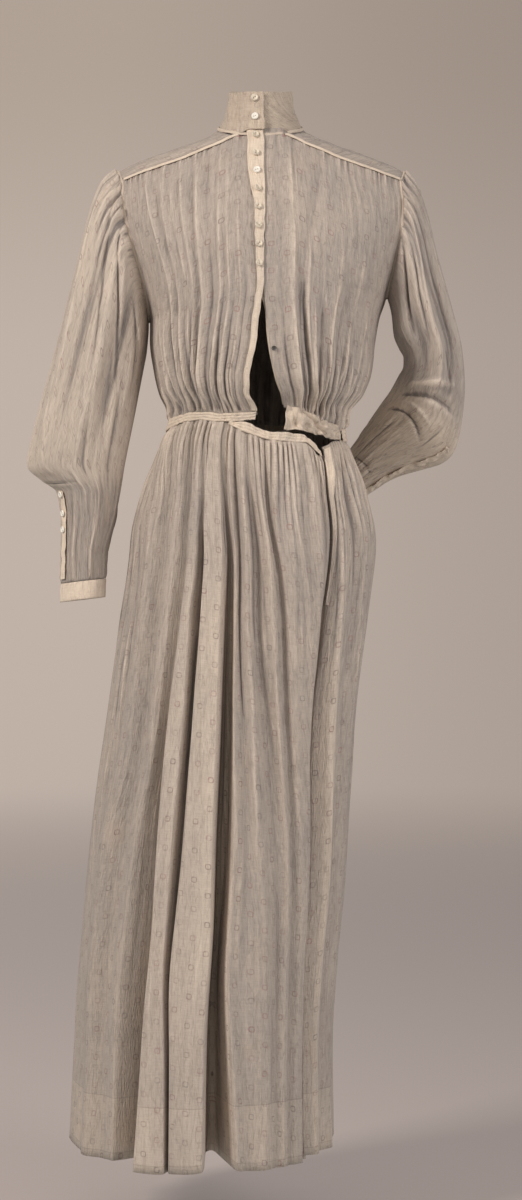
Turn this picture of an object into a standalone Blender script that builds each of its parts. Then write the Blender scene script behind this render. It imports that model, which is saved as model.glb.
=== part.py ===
# Cotton day dress of about 1905: its cut and sewn pieces at real size, in the form it has when worn.
# Metres. +X is the wearer's left, the front faces -Y, the origin lies at the neck, level with the shoulders.
import math

import bmesh
import bpy
import numpy as np
from mathutils import Vector

# Driving sizes
CLOTH = 0.0016
DOUBLED_CLOTH = 0.0020
SEAM_GAP = 0.0004
BAND_GAP = 0.0009
SIDE_SEAM_GAP = 0.0012
LAY_GAP = 0.0004
HEM_HEIGHT = -1.302
COLLAR_TOP_FRONT = 0.066
COLLAR_TOP_BACK = 0.086
STRIP_REACH = 0.0026
SIDES = {"right": -1, "left": 1}

# Buttons
BUTTON_RADIUS = 0.0048
SLEEVE_BUTTON_RADIUS = 0.0042
INNER_BUTTON_RADIUS = 0.0030
BUTTON_THICKNESS = 0.0021
BUTTON_SIDES = 9
BUTTON_PITCH = 0.0249
FRONT_BUTTONS = 10
COLLAR_BUTTONS = 2
FIRST_BUTTON_HEIGHT = 0.0575
FIRST_BUTTON_X = -0.0090
BUTTON_DRIFT = 0.0006
INNER_BUTTON = (0.015, -0.273)

# Neck and stand collar
NECK_CENTRE_X = -0.002
NECK_HALF_WIDTH = 0.0540
NECK_FRONT_HEIGHT = 0.010
NECK_BACK_RISE = 0.033
NECK_SIDE_RISE = 0.0025
NECK_CENTRE_Y = 0.001
NECK_HALF_DEPTH = 0.0480
NECK_FLARE = 0.0085
NECK_BACK_SHIFT = 0.004
COLLAR_TAPER = 0.0125
COLLAR_LAP = 0.0050
COLLAR_START = 5.5
COLLAR_TURN = 376
COLLAR_END_COLUMN = 4
COLLAR_END_RISE = 0.0055
COLLAR_END_LENGTH = (0.056, 0.084)
STRIP_TOP_RISE = 0.0050

# Height of the gathers and of the soft folds between them
FRONT_YOKE_GATHER = 0.0026
BACK_YOKE_GATHER = 0.0022
WAIST_GATHER = 0.0036
SKIRT_GATHER = 0.0032
SLEEVE_GATHER = 0.0020
FRONT_SOFT_FOLD = 0.0040
BACK_SOFT_FOLD = 0.0035

# Colours and roughness of the materials
FINISHES = {
    "voile": ((0.80, 0.78, 0.73), 0.85),
    "doubled_cloth": ((0.87, 0.83, 0.75), 0.85),
    "pearl": ((0.90, 0.88, 0.85), 0.25),
}

# Front and back profile of the bodice: height, front y, back y
BODICE_PROFILE = (
    (0.040, -0.047, 0.052),
    (0.012, -0.056, 0.058),
    (-0.030, -0.076, 0.076),
    (-0.080, -0.099, 0.097),
    (-0.140, -0.120, 0.108),
    (-0.200, -0.131, 0.109),
    (-0.260, -0.130, 0.103),
    (-0.310, -0.121, 0.095),
    (-0.335, -0.108, 0.087),
    (-0.352, -0.095, 0.080),
    (-0.390, -0.095, 0.080),
)

# Outer edge of the bodice, armhole and then side seam: height, |x|, front y, back y, reach of the arc
SIDE_RIGHT = (
    (0.000, 0.180, -0.028, 0.026, 52),
    (-0.045, 0.180, -0.030, 0.030, 52),
    (-0.084, 0.177, -0.042, 0.046, 56),
    (-0.135, 0.165, -0.050, 0.054, 62),
    (-0.181, 0.152, -0.042, 0.045, 72),
    (-0.208, 0.147, -0.026, 0.027, 82),
    (-0.220, 0.146, -0.013, 0.013, 86),
    (-0.226, 0.146, 0.000, 0.000, 90),
    (-0.250, 0.146, 0.000, 0.000, 90),
    (-0.291, 0.140, 0.000, 0.000, 90),
    (-0.320, 0.132, 0.000, 0.000, 90),
    (-0.345, 0.121, 0.000, 0.000, 90),
    (-0.390, 0.124, 0.000, 0.000, 90),
)
SIDE_LEFT = (
    (0.000, 0.178, -0.028, 0.026, 52),
    (-0.045, 0.178, -0.030, 0.030, 52),
    (-0.078, 0.181, -0.042, 0.046, 56),
    (-0.115, 0.178, -0.050, 0.054, 62),
    (-0.152, 0.171, -0.042, 0.045, 72),
    (-0.178, 0.165, -0.026, 0.027, 82),
    (-0.189, 0.163, -0.013, 0.013, 86),
    (-0.195, 0.162, 0.000, 0.000, 90),
    (-0.222, 0.153, 0.000, 0.000, 90),
    (-0.250, 0.148, 0.000, 0.000, 90),
    (-0.291, 0.142, 0.000, 0.000, 90),
    (-0.320, 0.131, 0.000, 0.000, 90),
    (-0.345, 0.112, 0.000, 0.000, 90),
    (-0.390, 0.105, 0.000, 0.000, 90),
)
SIDE_EDGES = {-1: SIDE_RIGHT, 1: SIDE_LEFT}
TOP_REACH = 52
TOP_FIT_LENGTH = 0.09
WAIST_FIT_LENGTH = 0.05
BACK_HALF_WIDTH = 0.179

# Front edges of the bodice at the button strip and the open gap: height, right x, left x
FRONT_EDGES = (
    (0.030, 0.0004, 0.0016),
    (-0.190, 0.0004, 0.0018),
    (-0.234, -0.0045, 0.0060),
    (-0.273, -0.0100, 0.0100),
    (-0.312, -0.0175, 0.0190),
    (-0.328, -0.0170, 0.0250),
    (-0.352, -0.0060, 0.0290),
)

# Upper edge of the bodice fronts, neck seam and then yoke seam: |x|, y, height
FRONT_TOP = (
    (0.000, -0.0578, 0.0075),
    (0.015, -0.0552, 0.0082),
    (0.028, -0.0480, 0.0104),
    (0.040, -0.0472, 0.0070),
    (0.057, -0.0485, -0.0015),
    (0.080, -0.0495, -0.0110),
    (0.101, -0.0485, -0.0200),
    (0.146, -0.0410, -0.0340),
    (0.180, -0.0300, -0.0450),
)

# Seam between yoke and back: |x|, height
BACK_YOKE_SEAM = (
    (0.000, -0.052),
    (0.090, -0.052),
    (0.150, -0.054),
    (0.180, -0.057),
)

# Yoke: where its front seam meets the neck, share of its outer edge over the shoulder, its fit to the front seam
YOKE_NECK_X = 0.031
SHOULDER_SHARE = 0.32
YOKE_SET_BACK = 0.0010
YOKE_SET_UP = 0.0019
ARMHOLE_BACK_Y = 0.031
ARMHOLE_BULGE = (0.0070, 0.0215)
YOKE_SLOPE = ((0, 0.16, 0.32, 1), (0.80, 0.72, 0.78, 0.95))

# Right button strip: height, inner x, outer x
PLACKET_RIGHT = (
    (0.014, -0.0190, 0.0025),
    (-0.020, -0.0185, 0.0035),
    (-0.060, -0.0150, 0.0040),
    (-0.085, -0.0105, 0.0035),
    (-0.130, -0.0085, 0.0030),
    (-0.190, -0.0065, 0.0022),
    (-0.234, -0.0120, -0.0035),
    (-0.273, -0.0165, -0.0085),
    (-0.312, -0.0240, -0.0165),
    (-0.328, -0.0235, -0.0165),
    (-0.346, -0.0140, -0.0060),
)

# Left button strip: height, inset of its inner edge from the front's edge, width, how far it lies behind the front
PLACKET_LEFT = (
    (0.014, 0.0111, 0.0120, 0.0026),
    (-0.170, 0.0111, 0.0120, 0.0026),
    (-0.230, 0.0016, 0.0080, 0.0026),
    (-0.346, 0.0016, 0.0080, 0.0036),
)

# Band from the right front end round the back to the left side: angle, upper edge, lower edge
WAISTBAND = (
    (-288, -0.3685, -0.3850),
    (-270, -0.3665, -0.3825),
    (-235, -0.3600, -0.3740),
    (-180, -0.3520, -0.3650),
    (-90, -0.3555, -0.3690),
    (-40, -0.3485, -0.3590),
    (-20, -0.3515, -0.3625),
    (-0.5, -0.3505, -0.3615),
)
# Free end of the bodice's band at the left front
BAND_FRONT_LEFT = (
    (18.5, -0.3420, -0.3720),
    (32, -0.3480, -0.3745),
    (48, -0.3580, -0.3790),
    (69, -0.3680, -0.3845),
)
# Free end of the skirt's band
SKIRT_BAND = (
    (-17, -0.3640, -0.3660),
    (-10, -0.3660, -0.3740),
    (0, -0.3690, -0.3800),
    (10, -0.3755, -0.3865),
    (22, -0.3775, -0.3890),
    (32, -0.3790, -0.3895),
    (37, -0.3880, -0.3955),
    (42, -0.3990, -0.4070),
)
BAND_REACH = 0.0010
LEFT_BAND_GAP = 0.0015
LEFT_WAIST_RISE = 0.009
LEFT_WAIST_RANGE = (-0.342, -0.270)

# Rings of the skirt's general form: height, centre x, centre y, half width, front depth, back depth
SKIRT_FORM = (
    (-0.340, -0.005, 0.000, 0.113, 0.094, 0.079),
    (-0.365, -0.008, 0.000, 0.115, 0.096, 0.084),
    (-0.393, -0.011, 0.000, 0.124, 0.101, 0.105),
    (-0.443, -0.011, 0.000, 0.145, 0.112, 0.135),
    (-0.511, -0.012, 0.000, 0.160, 0.122, 0.158),
    (-0.616, -0.024, 0.005, 0.162, 0.130, 0.170),
    (-0.720, -0.038, 0.012, 0.163, 0.138, 0.175),
    (-0.850, -0.052, 0.022, 0.168, 0.150, 0.182),
    (-0.980, -0.063, 0.030, 0.171, 0.163, 0.190),
    (-1.140, -0.076, 0.040, 0.171, 0.180, 0.198),
    (-1.305, -0.080, 0.048, 0.176, 0.200, 0.206),
)

# Heights at which the folds of the skirt are given
FOLD_HEIGHTS = (-0.375, -0.462, -0.615, -0.780, -0.905, -1.040, -1.155, -1.302)

# Ridges and troughs of the skirt: name, gather columns since the last one,
# angle round the skirt at each fold height (0 at the front, + to the wearer's left), how far it stands out in mm
SKIRT_FOLDS = (
    ("side seam right", 0, (-90, -90, -90, -90, -90, -90, -90, -90), (0, 0, 0, 0, 0, 0, 0, 0)),
    ("side trough", 3, (-80, -62, -61, -62, -68, -69, -68, -67), (-1, -3, -4, -5, -6, -6, -6, -6)),
    ("side ridge", 3, (-69, -54, -53, -51, -56, -58, -57, -56), (1, 3, 4, 4, 5, 5, 4, 3)),
    ("first trough", 3, (-59, -47, -45, -43, -47, -49, -48, -47), (-1, -4, -7, -7, -7, -6, -6, -5)),
    ("first ridge", 3, (-51, -40, -38, -35, -38, -40, -40, -40), (1, 3, 4, 5, 4, 3, 0, -4)),
    ("panel trough", 3, (-43, -34, -31, -30, -30, -28, -27.5, -29), (-1, -5, -7, -13, -20, -34, -56, -84)),
    ("panel lip", 2, (-38, -30, -27.5, -26, -24, -23, -23.5, -24.5), (1, 4, 8, 9, 11, 13, 15, 17)),
    ("panel face", 2, (-34, -27, -24, -20, -19, -18, -15, -13.5), (1, 4, 7, 8, 9, 10, 11, 12)),
    ("line", 1, (-32, -25, -21.5, -17.5, -16.5, -16, -13.5, -12.5), (-1, -4, -13, -14, -13, -9, -6, -3)),
    ("second lip", 1, (-29.5, -23, -18, -14.5, -13, -14, -12, -10.5), (1, 4, 8, 10, 11, 12, 13, 13)),
    ("second face", 3, (-21.5, -16, -10, -4.5, -2, 0.5, 1, 1.5), (1, 4, 10, 14, 15, 16, 18, 20)),
    ("deep trough right", 1, (-20, -14, -8, -2, 0.5, 3, 4, 4.5), (-1, -5, -18, -30, -38, -46, -58, -76)),
    ("deep trough left", 1, (-16.5, -12.5, -5.5, 1.5, 4.5, 5.5, 8.5, 11.5), (-1, -5, -17, -28, -36, -44, -56, -76)),
    ("third lip", 1, (-15, -10.5, -3.5, 3.5, 7, 8.5, 12.5, 15.5), (1, 4, 3, 5, 8, 9, 10, 10)),
    ("third trough", 1, (-12.5, -8, -1.5, 8, 13, 16, 19, 21), (-1, -4, -4, -1, 0, 1, 2, 2)),
    ("fourth ridge", 1, (-9, -5, 2, 12.5, 18.5, 24, 27, 27), (1, 4, 6, 6, 5, 5, 4, 4)),
    ("fourth trough", 1, (-5, -1.5, 6.5, 20, 27, 31, 33, 33), (-1, -6, -9, -8, -5, -3, -1, 0)),
    ("fifth ridge", 1, (-1.5, 3, 13, 24, 31, 35, 37, 37), (1, 4, 7, 5, 4, 4, 4, 4)),
    ("fifth trough", 2, (6, 7, 18, 28, 34, 38, 40, 40), (-1, -5, -6, -4, -3, -1, 0, 1)),
    ("flat ridge", 2, (13, 11, 21, 31, 38, 41.5, 43, 43), (1, 4, 5, 5, 5, 5, 5, 5)),
    ("flat edge", 4, (32, 31, 35, 38, 42, 44, 46, 46), (1, 2, 5, 6, 6, 6, 6, 6)),
    ("opening trough", 3, (47, 41, 42, 43, 47, 48, 50, 50), (-1, -5, -12, -15, -15, -12, -8, -6)),
    ("opening ridge", 1, (52, 45, 48, 51, 54, 55, 56, 56), (1, 3, 5, 7, 6, 5, 4, 4)),
    ("left trough", 2, (62, 51, 57, 60, 61, 62, 62, 62), (-1, -3, -5, -3, -3, -3, -3, -3)),
    ("left ridge", 3, (75, 63, 69, 70, 70, 70, 70, 70), (1, 2, 3, 3, 3, 4, 4, 4)),
    ("left side trough", 3, (84, 78, 80, 80, 80, 80, 80, 80), (-1, -2, -2, -3, -3, -3, -3, -3)),
    ("left side", 2, (93, 92, 92, 92, 92, 92, 92, 92), (0, 0, 0, 0, 0, 0, 0, 0)),
    ("back trough 1", 3, (105, 104, 103, 102, 102, 102, 102, 102), (-1, -3, -6, -9, -11, -12, -13, -14)),
    ("back ridge 1", 3, (117, 116, 115, 114, 114, 114, 114, 114), (1, 3, 6, 8, 9, 10, 10, 10)),
    ("back trough 2", 3, (128, 127, 126, 126, 126, 126, 126, 126), (-1, -4, -8, -12, -16, -20, -24, -28)),
    ("back ridge 2", 3, (138, 138, 138, 138, 138, 138, 138, 138), (1, 4, 7, 9, 10, 11, 12, 12)),
    ("back trough 3", 3, (148, 148, 149, 150, 151, 151, 151, 151), (-1, -4, -6, -9, -12, -14, -16, -18)),
    ("back ridge 3", 3, (157, 158, 160, 161, 162, 163, 163, 163), (1, 4, 8, 11, 12, 13, 13, 13)),
    ("back trough 4", 3, (167, 168, 170, 171, 172, 173, 173, 173), (-1, -5, -10, -16, -22, -28, -34, -40)),
    ("back ridge 4", 3, (176, 178, 180, 181, 182, 183, 183, 183), (1, 4, 8, 10, 11, 12, 12, 12)),
    ("back trough 5", 3, (186, 188, 190, 191, 192, 193, 193, 193), (-1, -3, -6, -8, -10, -11, -12, -12)),
    ("back ridge 5", 3, (196, 198, 200, 202, 203, 204, 205, 205), (1, 4, 8, 11, 13, 14, 15, 15)),
    ("back trough 6", 3, (206, 208, 210, 212, 213, 214, 215, 215), (-1, -5, -11, -18, -25, -32, -38, -44)),
    ("back ridge 6", 3, (216, 218, 220, 221, 222, 223, 223, 223), (1, 4, 7, 9, 10, 11, 12, 12)),
    ("back trough 7", 3, (227, 229, 231, 232, 233, 233, 233, 233), (-1, -4, -7, -10, -12, -13, -14, -14)),
    ("back ridge 7", 3, (239, 241, 242, 243, 243, 243, 243, 243), (1, 3, 6, 8, 9, 10, 10, 10)),
    ("back trough 8", 3, (254, 255, 256, 256, 256, 256, 256, 256), (-1, -3, -5, -8, -9, -10, -10, -10)),
    ("side seam right again", 3, (270, 270, 270, 270, 270, 270, 270, 270), (0, 0, 0, 0, 0, 0, 0, 0)),
)
OPENING_FOLD = "opening trough"

# Top edge of the skirt's left part beyond its opening, under the bands: angle, height
SKIRT_TOP_LEFT = (
    (46, -0.3980),
    (60, -0.3880),
)

# Room left at the skirt's opening and side seam, in gather columns, and the radius that spaces the gathers
OPENING_SLIT = 0.15
SIDE_SLIT = 0.06
WAIST_RADIUS = 0.115

# Raised hem at the deep trough: angle, half width in degrees, height
HEM_RISE = (8, 6, 0.008)

# Width of the strip at the skirt's opening at fractions of the skirt's length
SKIRT_STRIP_WIDTH = ((0, 0.08, 0.22), (0.0130, 0.0120, 0.0075))

# Rows down the pieces, as fractions of their length, and numbers of points across them
SKIRT_ROWS = (0, 0.008, 0.035, 0.08, 0.14, 0.22, 0.33, 0.45, 0.58, 0.71, 0.85, 1)
SKIRT_STRIP_ROWS = 6
FRONT_ROWS = (0, 0.05, 0.12, 0.22, 0.33, 0.44, 0.53, 0.66, 0.80, 0.90, 0.96, 1)
BACK_ROWS = (0, 0.07, 0.18, 0.36, 0.56, 0.76, 0.90, 1)
YOKE_ROWS = (0, 0.06, 0.14, 0.24, 0.36, 0.50, 0.67, 0.84, 1)
COLLAR_ROWS = (0, 0.5, 0.8, 1)
FRONT_COLUMNS = 25
BACK_COLUMNS = 39
YOKE_COLUMNS = 27
COLLAR_COLUMNS = 37
WAISTBAND_COLUMNS = 41
LEFT_BAND_COLUMNS = 9
SKIRT_BAND_COLUMNS = 13
CUFF_COLUMNS = 21
PLACKET_COLUMNS = (0, 0.3, 0.65, 1)
NARROW_COLUMNS = (0, 0.5, 1)

# Sleeves: outer x and z, inner x and z, centre y and half depth of each ring, right sleeve
SLEEVE_RIGHT = (
    (-0.188, -0.029, -0.148, -0.228, 0.000, 0.052),
    (-0.206, -0.042, -0.149, -0.238, 0.000, 0.063),
    (-0.219, -0.066, -0.151, -0.252, 0.002, 0.068),
    (-0.231, -0.105, -0.153, -0.264, 0.003, 0.070),
    (-0.245, -0.165, -0.157, -0.282, 0.004, 0.070),
    (-0.262, -0.232, -0.162, -0.308, 0.004, 0.069),
    (-0.281, -0.305, -0.168, -0.345, 0.004, 0.067),
    (-0.297, -0.366, -0.174, -0.382, 0.003, 0.064),
    (-0.306, -0.412, -0.180, -0.415, 0.001, 0.057),
    (-0.288, -0.433, -0.183, -0.434, -0.001, 0.050),
    (-0.266, -0.450, -0.187, -0.456, -0.003, 0.044),
    (-0.261, -0.490, -0.194, -0.490, -0.006, 0.038),
    (-0.261, -0.530, -0.203, -0.530, -0.010, 0.034),
    (-0.262, -0.568, -0.204, -0.561, -0.014, 0.031),
)
SLEEVE_LEFT = (
    (0.187, -0.030, 0.164, -0.196, 0.000, 0.052),
    (0.203, -0.050, 0.168, -0.203, 0.002, 0.063),
    (0.217, -0.090, 0.172, -0.214, 0.004, 0.069),
    (0.231, -0.142, 0.176, -0.238, 0.008, 0.071),
    (0.249, -0.204, 0.184, -0.254, 0.014, 0.071),
    (0.264, -0.262, 0.191, -0.268, 0.021, 0.069),
    (0.268, -0.312, 0.190, -0.279, 0.030, 0.067),
    (0.265, -0.354, 0.182, -0.293, 0.042, 0.064),
    (0.256, -0.392, 0.172, -0.311, 0.056, 0.059),
    (0.240, -0.407, 0.160, -0.329, 0.069, 0.053),
    (0.211, -0.415, 0.144, -0.352, 0.085, 0.045),
    (0.181, -0.424, 0.126, -0.378, 0.102, 0.038),
    (0.152, -0.440, 0.108, -0.402, 0.120, 0.033),
    (0.128, -0.458, 0.090, -0.424, 0.136, 0.030),
)
SLEEVE_RINGS = {"right": SLEEVE_RIGHT, "left": SLEEVE_LEFT}
CUFF_LENGTH = 0.024
SLEEVE_COLUMNS = 33
SLEEVE_ROWS = (0, 0.03, 0.08, 0.15, 0.24, 0.34, 0.45, 0.55, 0.61, 0.66, 0.70, 0.76, 0.81, 0.88, 1)
ARMHOLE_CORNER = math.radians(45)
ARMHOLE_GAP = 0.0028
HEAD_LENGTH = 0.09

# Long folds of the sleeves: turn in degrees, from v, to v, height in mm, half width in degrees
SLEEVE_FOLDS = (
    (40, 0.04, 0.62, 5.0, 13),
    (66, 0.04, 0.55, -6.0, 10),
    (90, 0.04, 0.60, 5.0, 12),
    (118, 0.06, 0.58, -7.0, 11),
    (145, 0.04, 0.50, 5.0, 13),
    (200, 0.04, 0.55, 4.0, 14),
    (228, 0.04, 0.60, -5.0, 12),
    (255, 0.04, 0.62, 5.0, 13),
    (285, 0.04, 0.58, -5.0, 12),
    (318, 0.04, 0.62, 4.0, 14),
)

# Button strips of the sleeves: turn in degrees and first row down the sleeve
SLEEVE_STRIPS = {"right": (36, 0.76), "left": (30, 0.66)}
SLEEVE_STRIP_WIDTH = 0.010
SLEEVE_STRIP_END = 0.99
SLEEVE_BUTTON_ROWS = (0.775, 0.823, 0.862)

# Small steps to either side of a point, for the direction that a surface faces there
STEP = 0.003
TURN_STEP = 0.07
ROW_STEP = 0.008


def smooth(xs, ys, x):
    """A curve through the points that never swings past them."""
    xs = np.asarray(xs, float)
    ys = np.asarray(ys, float)
    if xs[0] > xs[-1]:
        xs, ys = xs[::-1], ys[::-1]
    step = np.diff(xs)
    slope = np.diff(ys) / step
    tangent = np.zeros(len(xs))
    tangent[0], tangent[-1] = slope[0], slope[-1]
    before, after = slope[:-1], slope[1:]
    same_way = before * after > 0
    total = np.where(same_way, before + after, 1)
    tangent[1:-1] = np.where(same_way, 2 * before * after / total, 0)
    x = np.clip(np.asarray(x, float), xs[0], xs[-1])
    i = np.clip(np.searchsorted(xs, x, side="right") - 1, 0, len(step) - 1)
    t = (x - xs[i]) / step[i]
    return ((2 * t**3 - 3 * t**2 + 1) * ys[i] + (t**3 - 2 * t**2 + t) * step[i] * tangent[i]
            + (3 * t**2 - 2 * t**3) * ys[i + 1] + (t**3 - t**2) * step[i] * tangent[i + 1])


def column(table, name_index, x, key=0):
    """The value in one column of a table at x, read along the key column."""
    return smooth([row[key] for row in table], [row[name_index] for row in table], x)


def normals(points):
    """Unit normals of a grid of points, rows down and columns across."""
    across = np.gradient(points, axis=1)
    down = np.gradient(points, axis=0)
    normal = np.cross(across, down)
    return normal / np.maximum(np.linalg.norm(normal, axis=2, keepdims=True), 1e-12)


def moved_out(points, distance, level=False):
    """The grid moved along its normals, or level along them so that seams keep their height."""
    distance = np.broadcast_to(distance, points.shape[:2])
    normal = normals(points)
    if level:
        normal[..., 2] = 0
        normal /= np.maximum(np.linalg.norm(normal, axis=2, keepdims=True), 0.3)
    return points + normal * distance[..., None]


def grid(us, vs):
    """Parameters of a grid: u across and v down."""
    return np.meshgrid(np.asarray(us, float), np.asarray(vs, float))


def zigzag(count):
    """Ridge and trough in turn for each column of gathers."""
    return np.where(np.arange(count) % 2 == 0, 1.0, -1.0)


# Bodice

def bodice_edges(side, z):
    """x of the front edge and of the outer edge of a bodice front."""
    front = column(FRONT_EDGES, 1 if side < 0 else 2, z)
    return front, side * column(SIDE_EDGES[side], 1, z)


def front_low(side, u):
    """Height of the lower edge of a bodice front, where its band begins."""
    if side < 0:
        return column(WAISTBAND, 1, -90 * u) + BAND_GAP
    rows = BAND_FRONT_LEFT + tuple((row[0] + 360, row[1]) for row in WAISTBAND[:2])
    first = math.sin(math.radians(BAND_FRONT_LEFT[0][0]))
    angle = np.degrees(np.arcsin(first + (1 - first) * np.sin(u * math.pi / 2)))
    return column(rows, 1, angle) + LEFT_BAND_GAP


def form_front(side, x, z):
    """Depth of the front of the general form at x and z."""
    front_x, outer_x = bodice_edges(side, z)
    reach = np.radians(column(SIDE_EDGES[side], 4, z))
    across = np.clip((x - front_x) / (outer_x - front_x), -0.3, 1)
    turned = np.arcsin(across * np.sin(reach))
    depth = (np.cos(turned) - np.cos(reach)) / (1 - np.cos(reach))
    outer_y = column(SIDE_EDGES[side], 2, z)
    rise = LEFT_WAIST_RISE * smooth(LEFT_WAIST_RANGE, (1, 0), z) if side > 0 else 0
    return outer_y + (column(BODICE_PROFILE, 1, z - rise) - outer_y) * depth


def waist_depth(x, outer_x, z, depth_column):
    """Depth of the waist's ring at x, where the ring ends at outer_x."""
    centre_x = column(SKIRT_FORM, 1, z)
    across = np.clip((x - centre_x) / (outer_x - centre_x), -1, 1)
    return column(SKIRT_FORM, depth_column, z) * np.sqrt(1 - across**2)


def body_front(side, x, z):
    """Depth of a bodice front at x and z: the form, fitted to the neck and yoke seams and to the waist."""
    top_y = column(FRONT_TOP, 1, np.abs(x))
    top_z = column(FRONT_TOP, 2, np.abs(x))
    fade = np.clip(1 - (top_z - z) / TOP_FIT_LENGTH, 0, 1) ** 2
    y = form_front(side, x, z) + (top_y - form_front(side, x, top_z)) * fade
    front_x, outer_x = bodice_edges(side, z)
    u = np.arcsin(np.clip((x - front_x) / (outer_x - front_x), 0, 1)) / (math.pi / 2)
    low_z = front_low(side, u)
    _, low_outer_x = bodice_edges(side, low_z)
    low_y = -waist_depth(x, low_outer_x, low_z, 4)
    fade = np.clip(1 - (z - low_z) / WAIST_FIT_LENGTH, 0, 1) ** 2
    return y + (low_y - form_front(side, x, low_z)) * fade


def bodice_front(side, u, v):
    """A point of a bodice front: u from front edge to armhole and side, v from yoke to waist."""
    reach = math.radians(TOP_REACH)
    top_x = side * SIDE_EDGES[side][0][1] * np.sin(u * reach) / math.sin(reach)
    top_z = column(FRONT_TOP, 2, np.abs(top_x))
    z = top_z + (front_low(side, u) - top_z) * v
    front_x, outer_x = bodice_edges(side, z)
    reach = np.radians(column(SIDE_EDGES[side], 4, z))
    x = front_x + (outer_x - front_x) * np.sin(u * reach) / np.sin(reach)
    return np.stack([x, body_front(side, x, z), z], axis=-1)


def bodice_front_grid(side, us, vs):
    """The front with its gathers at yoke and waist and the soft folds between them."""
    u, v = grid(us, vs)
    fullness = FRONT_YOKE_GATHER * np.exp(-v / 0.25) + WAIST_GATHER * np.exp(-(1 - v) / 0.16)
    fullness *= np.clip((u - 0.13) / 0.08, 0, 1) * np.clip((1.0 - u) / 0.05, 0, 1)
    fullness *= np.clip(np.minimum(v, 1 - v) / 0.04, 0, 1)
    soft = FRONT_SOFT_FOLD * np.sin(math.pi * v) * np.cos(u * 5.5 * math.pi) * np.clip((u - 0.12) / 0.15, 0, 1)
    offset = fullness * zigzag(len(us))[None, :] + soft * np.clip((1 - u) / 0.1, 0, 1)
    return moved_out(bodice_front(side, u, v), -side * offset, level=True)


def bodice_back(u, v):
    """A point of the back: u from right armhole and side to the left one, v from yoke to waist."""
    across = 2 * u - 1
    side = np.where(across < 0, -1, 1)
    span = np.abs(across)
    reach = math.radians(TOP_REACH)
    top_x = BACK_HALF_WIDTH * np.sin(span * reach) / math.sin(reach)
    top_z = column(BACK_YOKE_SEAM, 1, top_x) - SEAM_GAP
    low_z = column(WAISTBAND, 1, -180 - 90 * across) + BAND_GAP
    z = top_z + (low_z - top_z) * v
    outer_x, outer_y, reach = [np.where(side < 0, column(SIDE_RIGHT, k, z), column(SIDE_LEFT, k, z))
                               for k in (1, 3, 4)]
    outer_y = np.where(span > 0.999, np.maximum(outer_y, SIDE_SEAM_GAP), outer_y)
    reach = np.radians(reach)
    back_y = column(BODICE_PROFILE, 2, z)
    x = side * outer_x * np.sin(span * reach) / np.sin(reach)
    y = outer_y + (back_y - outer_y) * (np.cos(span * reach) - np.cos(reach)) / (1 - np.cos(reach))
    return np.stack([x, y, z], axis=-1)


def bodice_back_grid(us, vs):
    """The back with its gathers at yoke and waist and its soft folds."""
    u, v = grid(us, vs)
    ends = np.clip(np.minimum(u, 1 - u) / 0.08, 0, 1)
    fullness = BACK_YOKE_GATHER * np.exp(-v / 0.25) + WAIST_GATHER * np.exp(-(1 - v) / 0.20)
    fullness *= np.clip(np.minimum(v, 1 - v) / 0.04, 0, 1)
    soft = BACK_SOFT_FOLD * np.sin(math.pi * v) * np.cos(u * 10 * math.pi)
    offset = (fullness * zigzag(len(us))[None, :] + soft) * ends
    return moved_out(bodice_back(u, v), offset, level=True)


# Collar and yoke

def neck_point(angle, rise):
    """A point of the stand collar: rise 0 at its seam and 1 at its top edge."""
    back = (1 - np.cos(angle)) / 2
    low = NECK_FRONT_HEIGHT + NECK_BACK_RISE * back + NECK_SIDE_RISE * np.sin(angle) ** 2
    high = COLLAR_TOP_FRONT + (COLLAR_TOP_BACK - COLLAR_TOP_FRONT) * back
    half_width = NECK_HALF_WIDTH - COLLAR_TAPER * (1 - (1 - rise) ** 2.2)
    half_depth = NECK_HALF_DEPTH + NECK_FLARE * (1 - rise) ** 1.6
    x = NECK_CENTRE_X + half_width * np.sin(angle)
    y = NECK_CENTRE_Y - half_depth * np.cos(angle) + NECK_BACK_SHIFT * back * (1 - rise)
    return np.stack([x, y, low + (high - low) * rise], axis=-1)


def collar_surface(u, v):
    """The collar from its right end, which laps outside, round the back to its left end."""
    angle = np.radians(COLLAR_START - COLLAR_TURN * u)
    points = neck_point(angle, 1 - v)
    points[..., 2] += COLLAR_END_RISE * v * smooth(COLLAR_END_LENGTH, (1, 0), u)
    lap = COLLAR_LAP * np.clip(1 - u / 0.14, 0, 1)
    return points + lap[..., None] * np.stack([np.sin(angle), -np.cos(angle), 0 * angle], axis=-1)


def armhole_top(side, along):
    """The top of an armhole over the shoulder, from its front corner to its back one."""
    table = SIDE_EDGES[side]
    front = np.array([side * table[1][1], FRONT_TOP[-1][1], FRONT_TOP[-1][2]])
    back = np.array([side * table[1][1], ARMHOLE_BACK_Y, BACK_YOKE_SEAM[-1][1]])
    along = np.asarray(along, float)[..., None]
    arch = np.sin(math.pi * along)
    bulge = np.array([side * ARMHOLE_BULGE[0], 0.0, ARMHOLE_BULGE[1]])
    return front + (back - front) * along + bulge * arch


def yoke_outer(side, t):
    """Outer edge of half of the yoke: t 0 at the front seam's shoulder end, 1 at the centre of the back."""
    arch = armhole_top(side, np.clip(t / SHOULDER_SHARE, 0, 1))
    span = 1 - np.clip((t - SHOULDER_SHARE) / (1 - SHOULDER_SHARE), 0, 1)
    u = 0.5 + 0.5 * side * span
    seam = bodice_back(u, np.zeros_like(u))
    seam[..., 2] += 2 * SEAM_GAP
    return np.where((t < SHOULDER_SHARE)[..., None], arch, seam)


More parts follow.
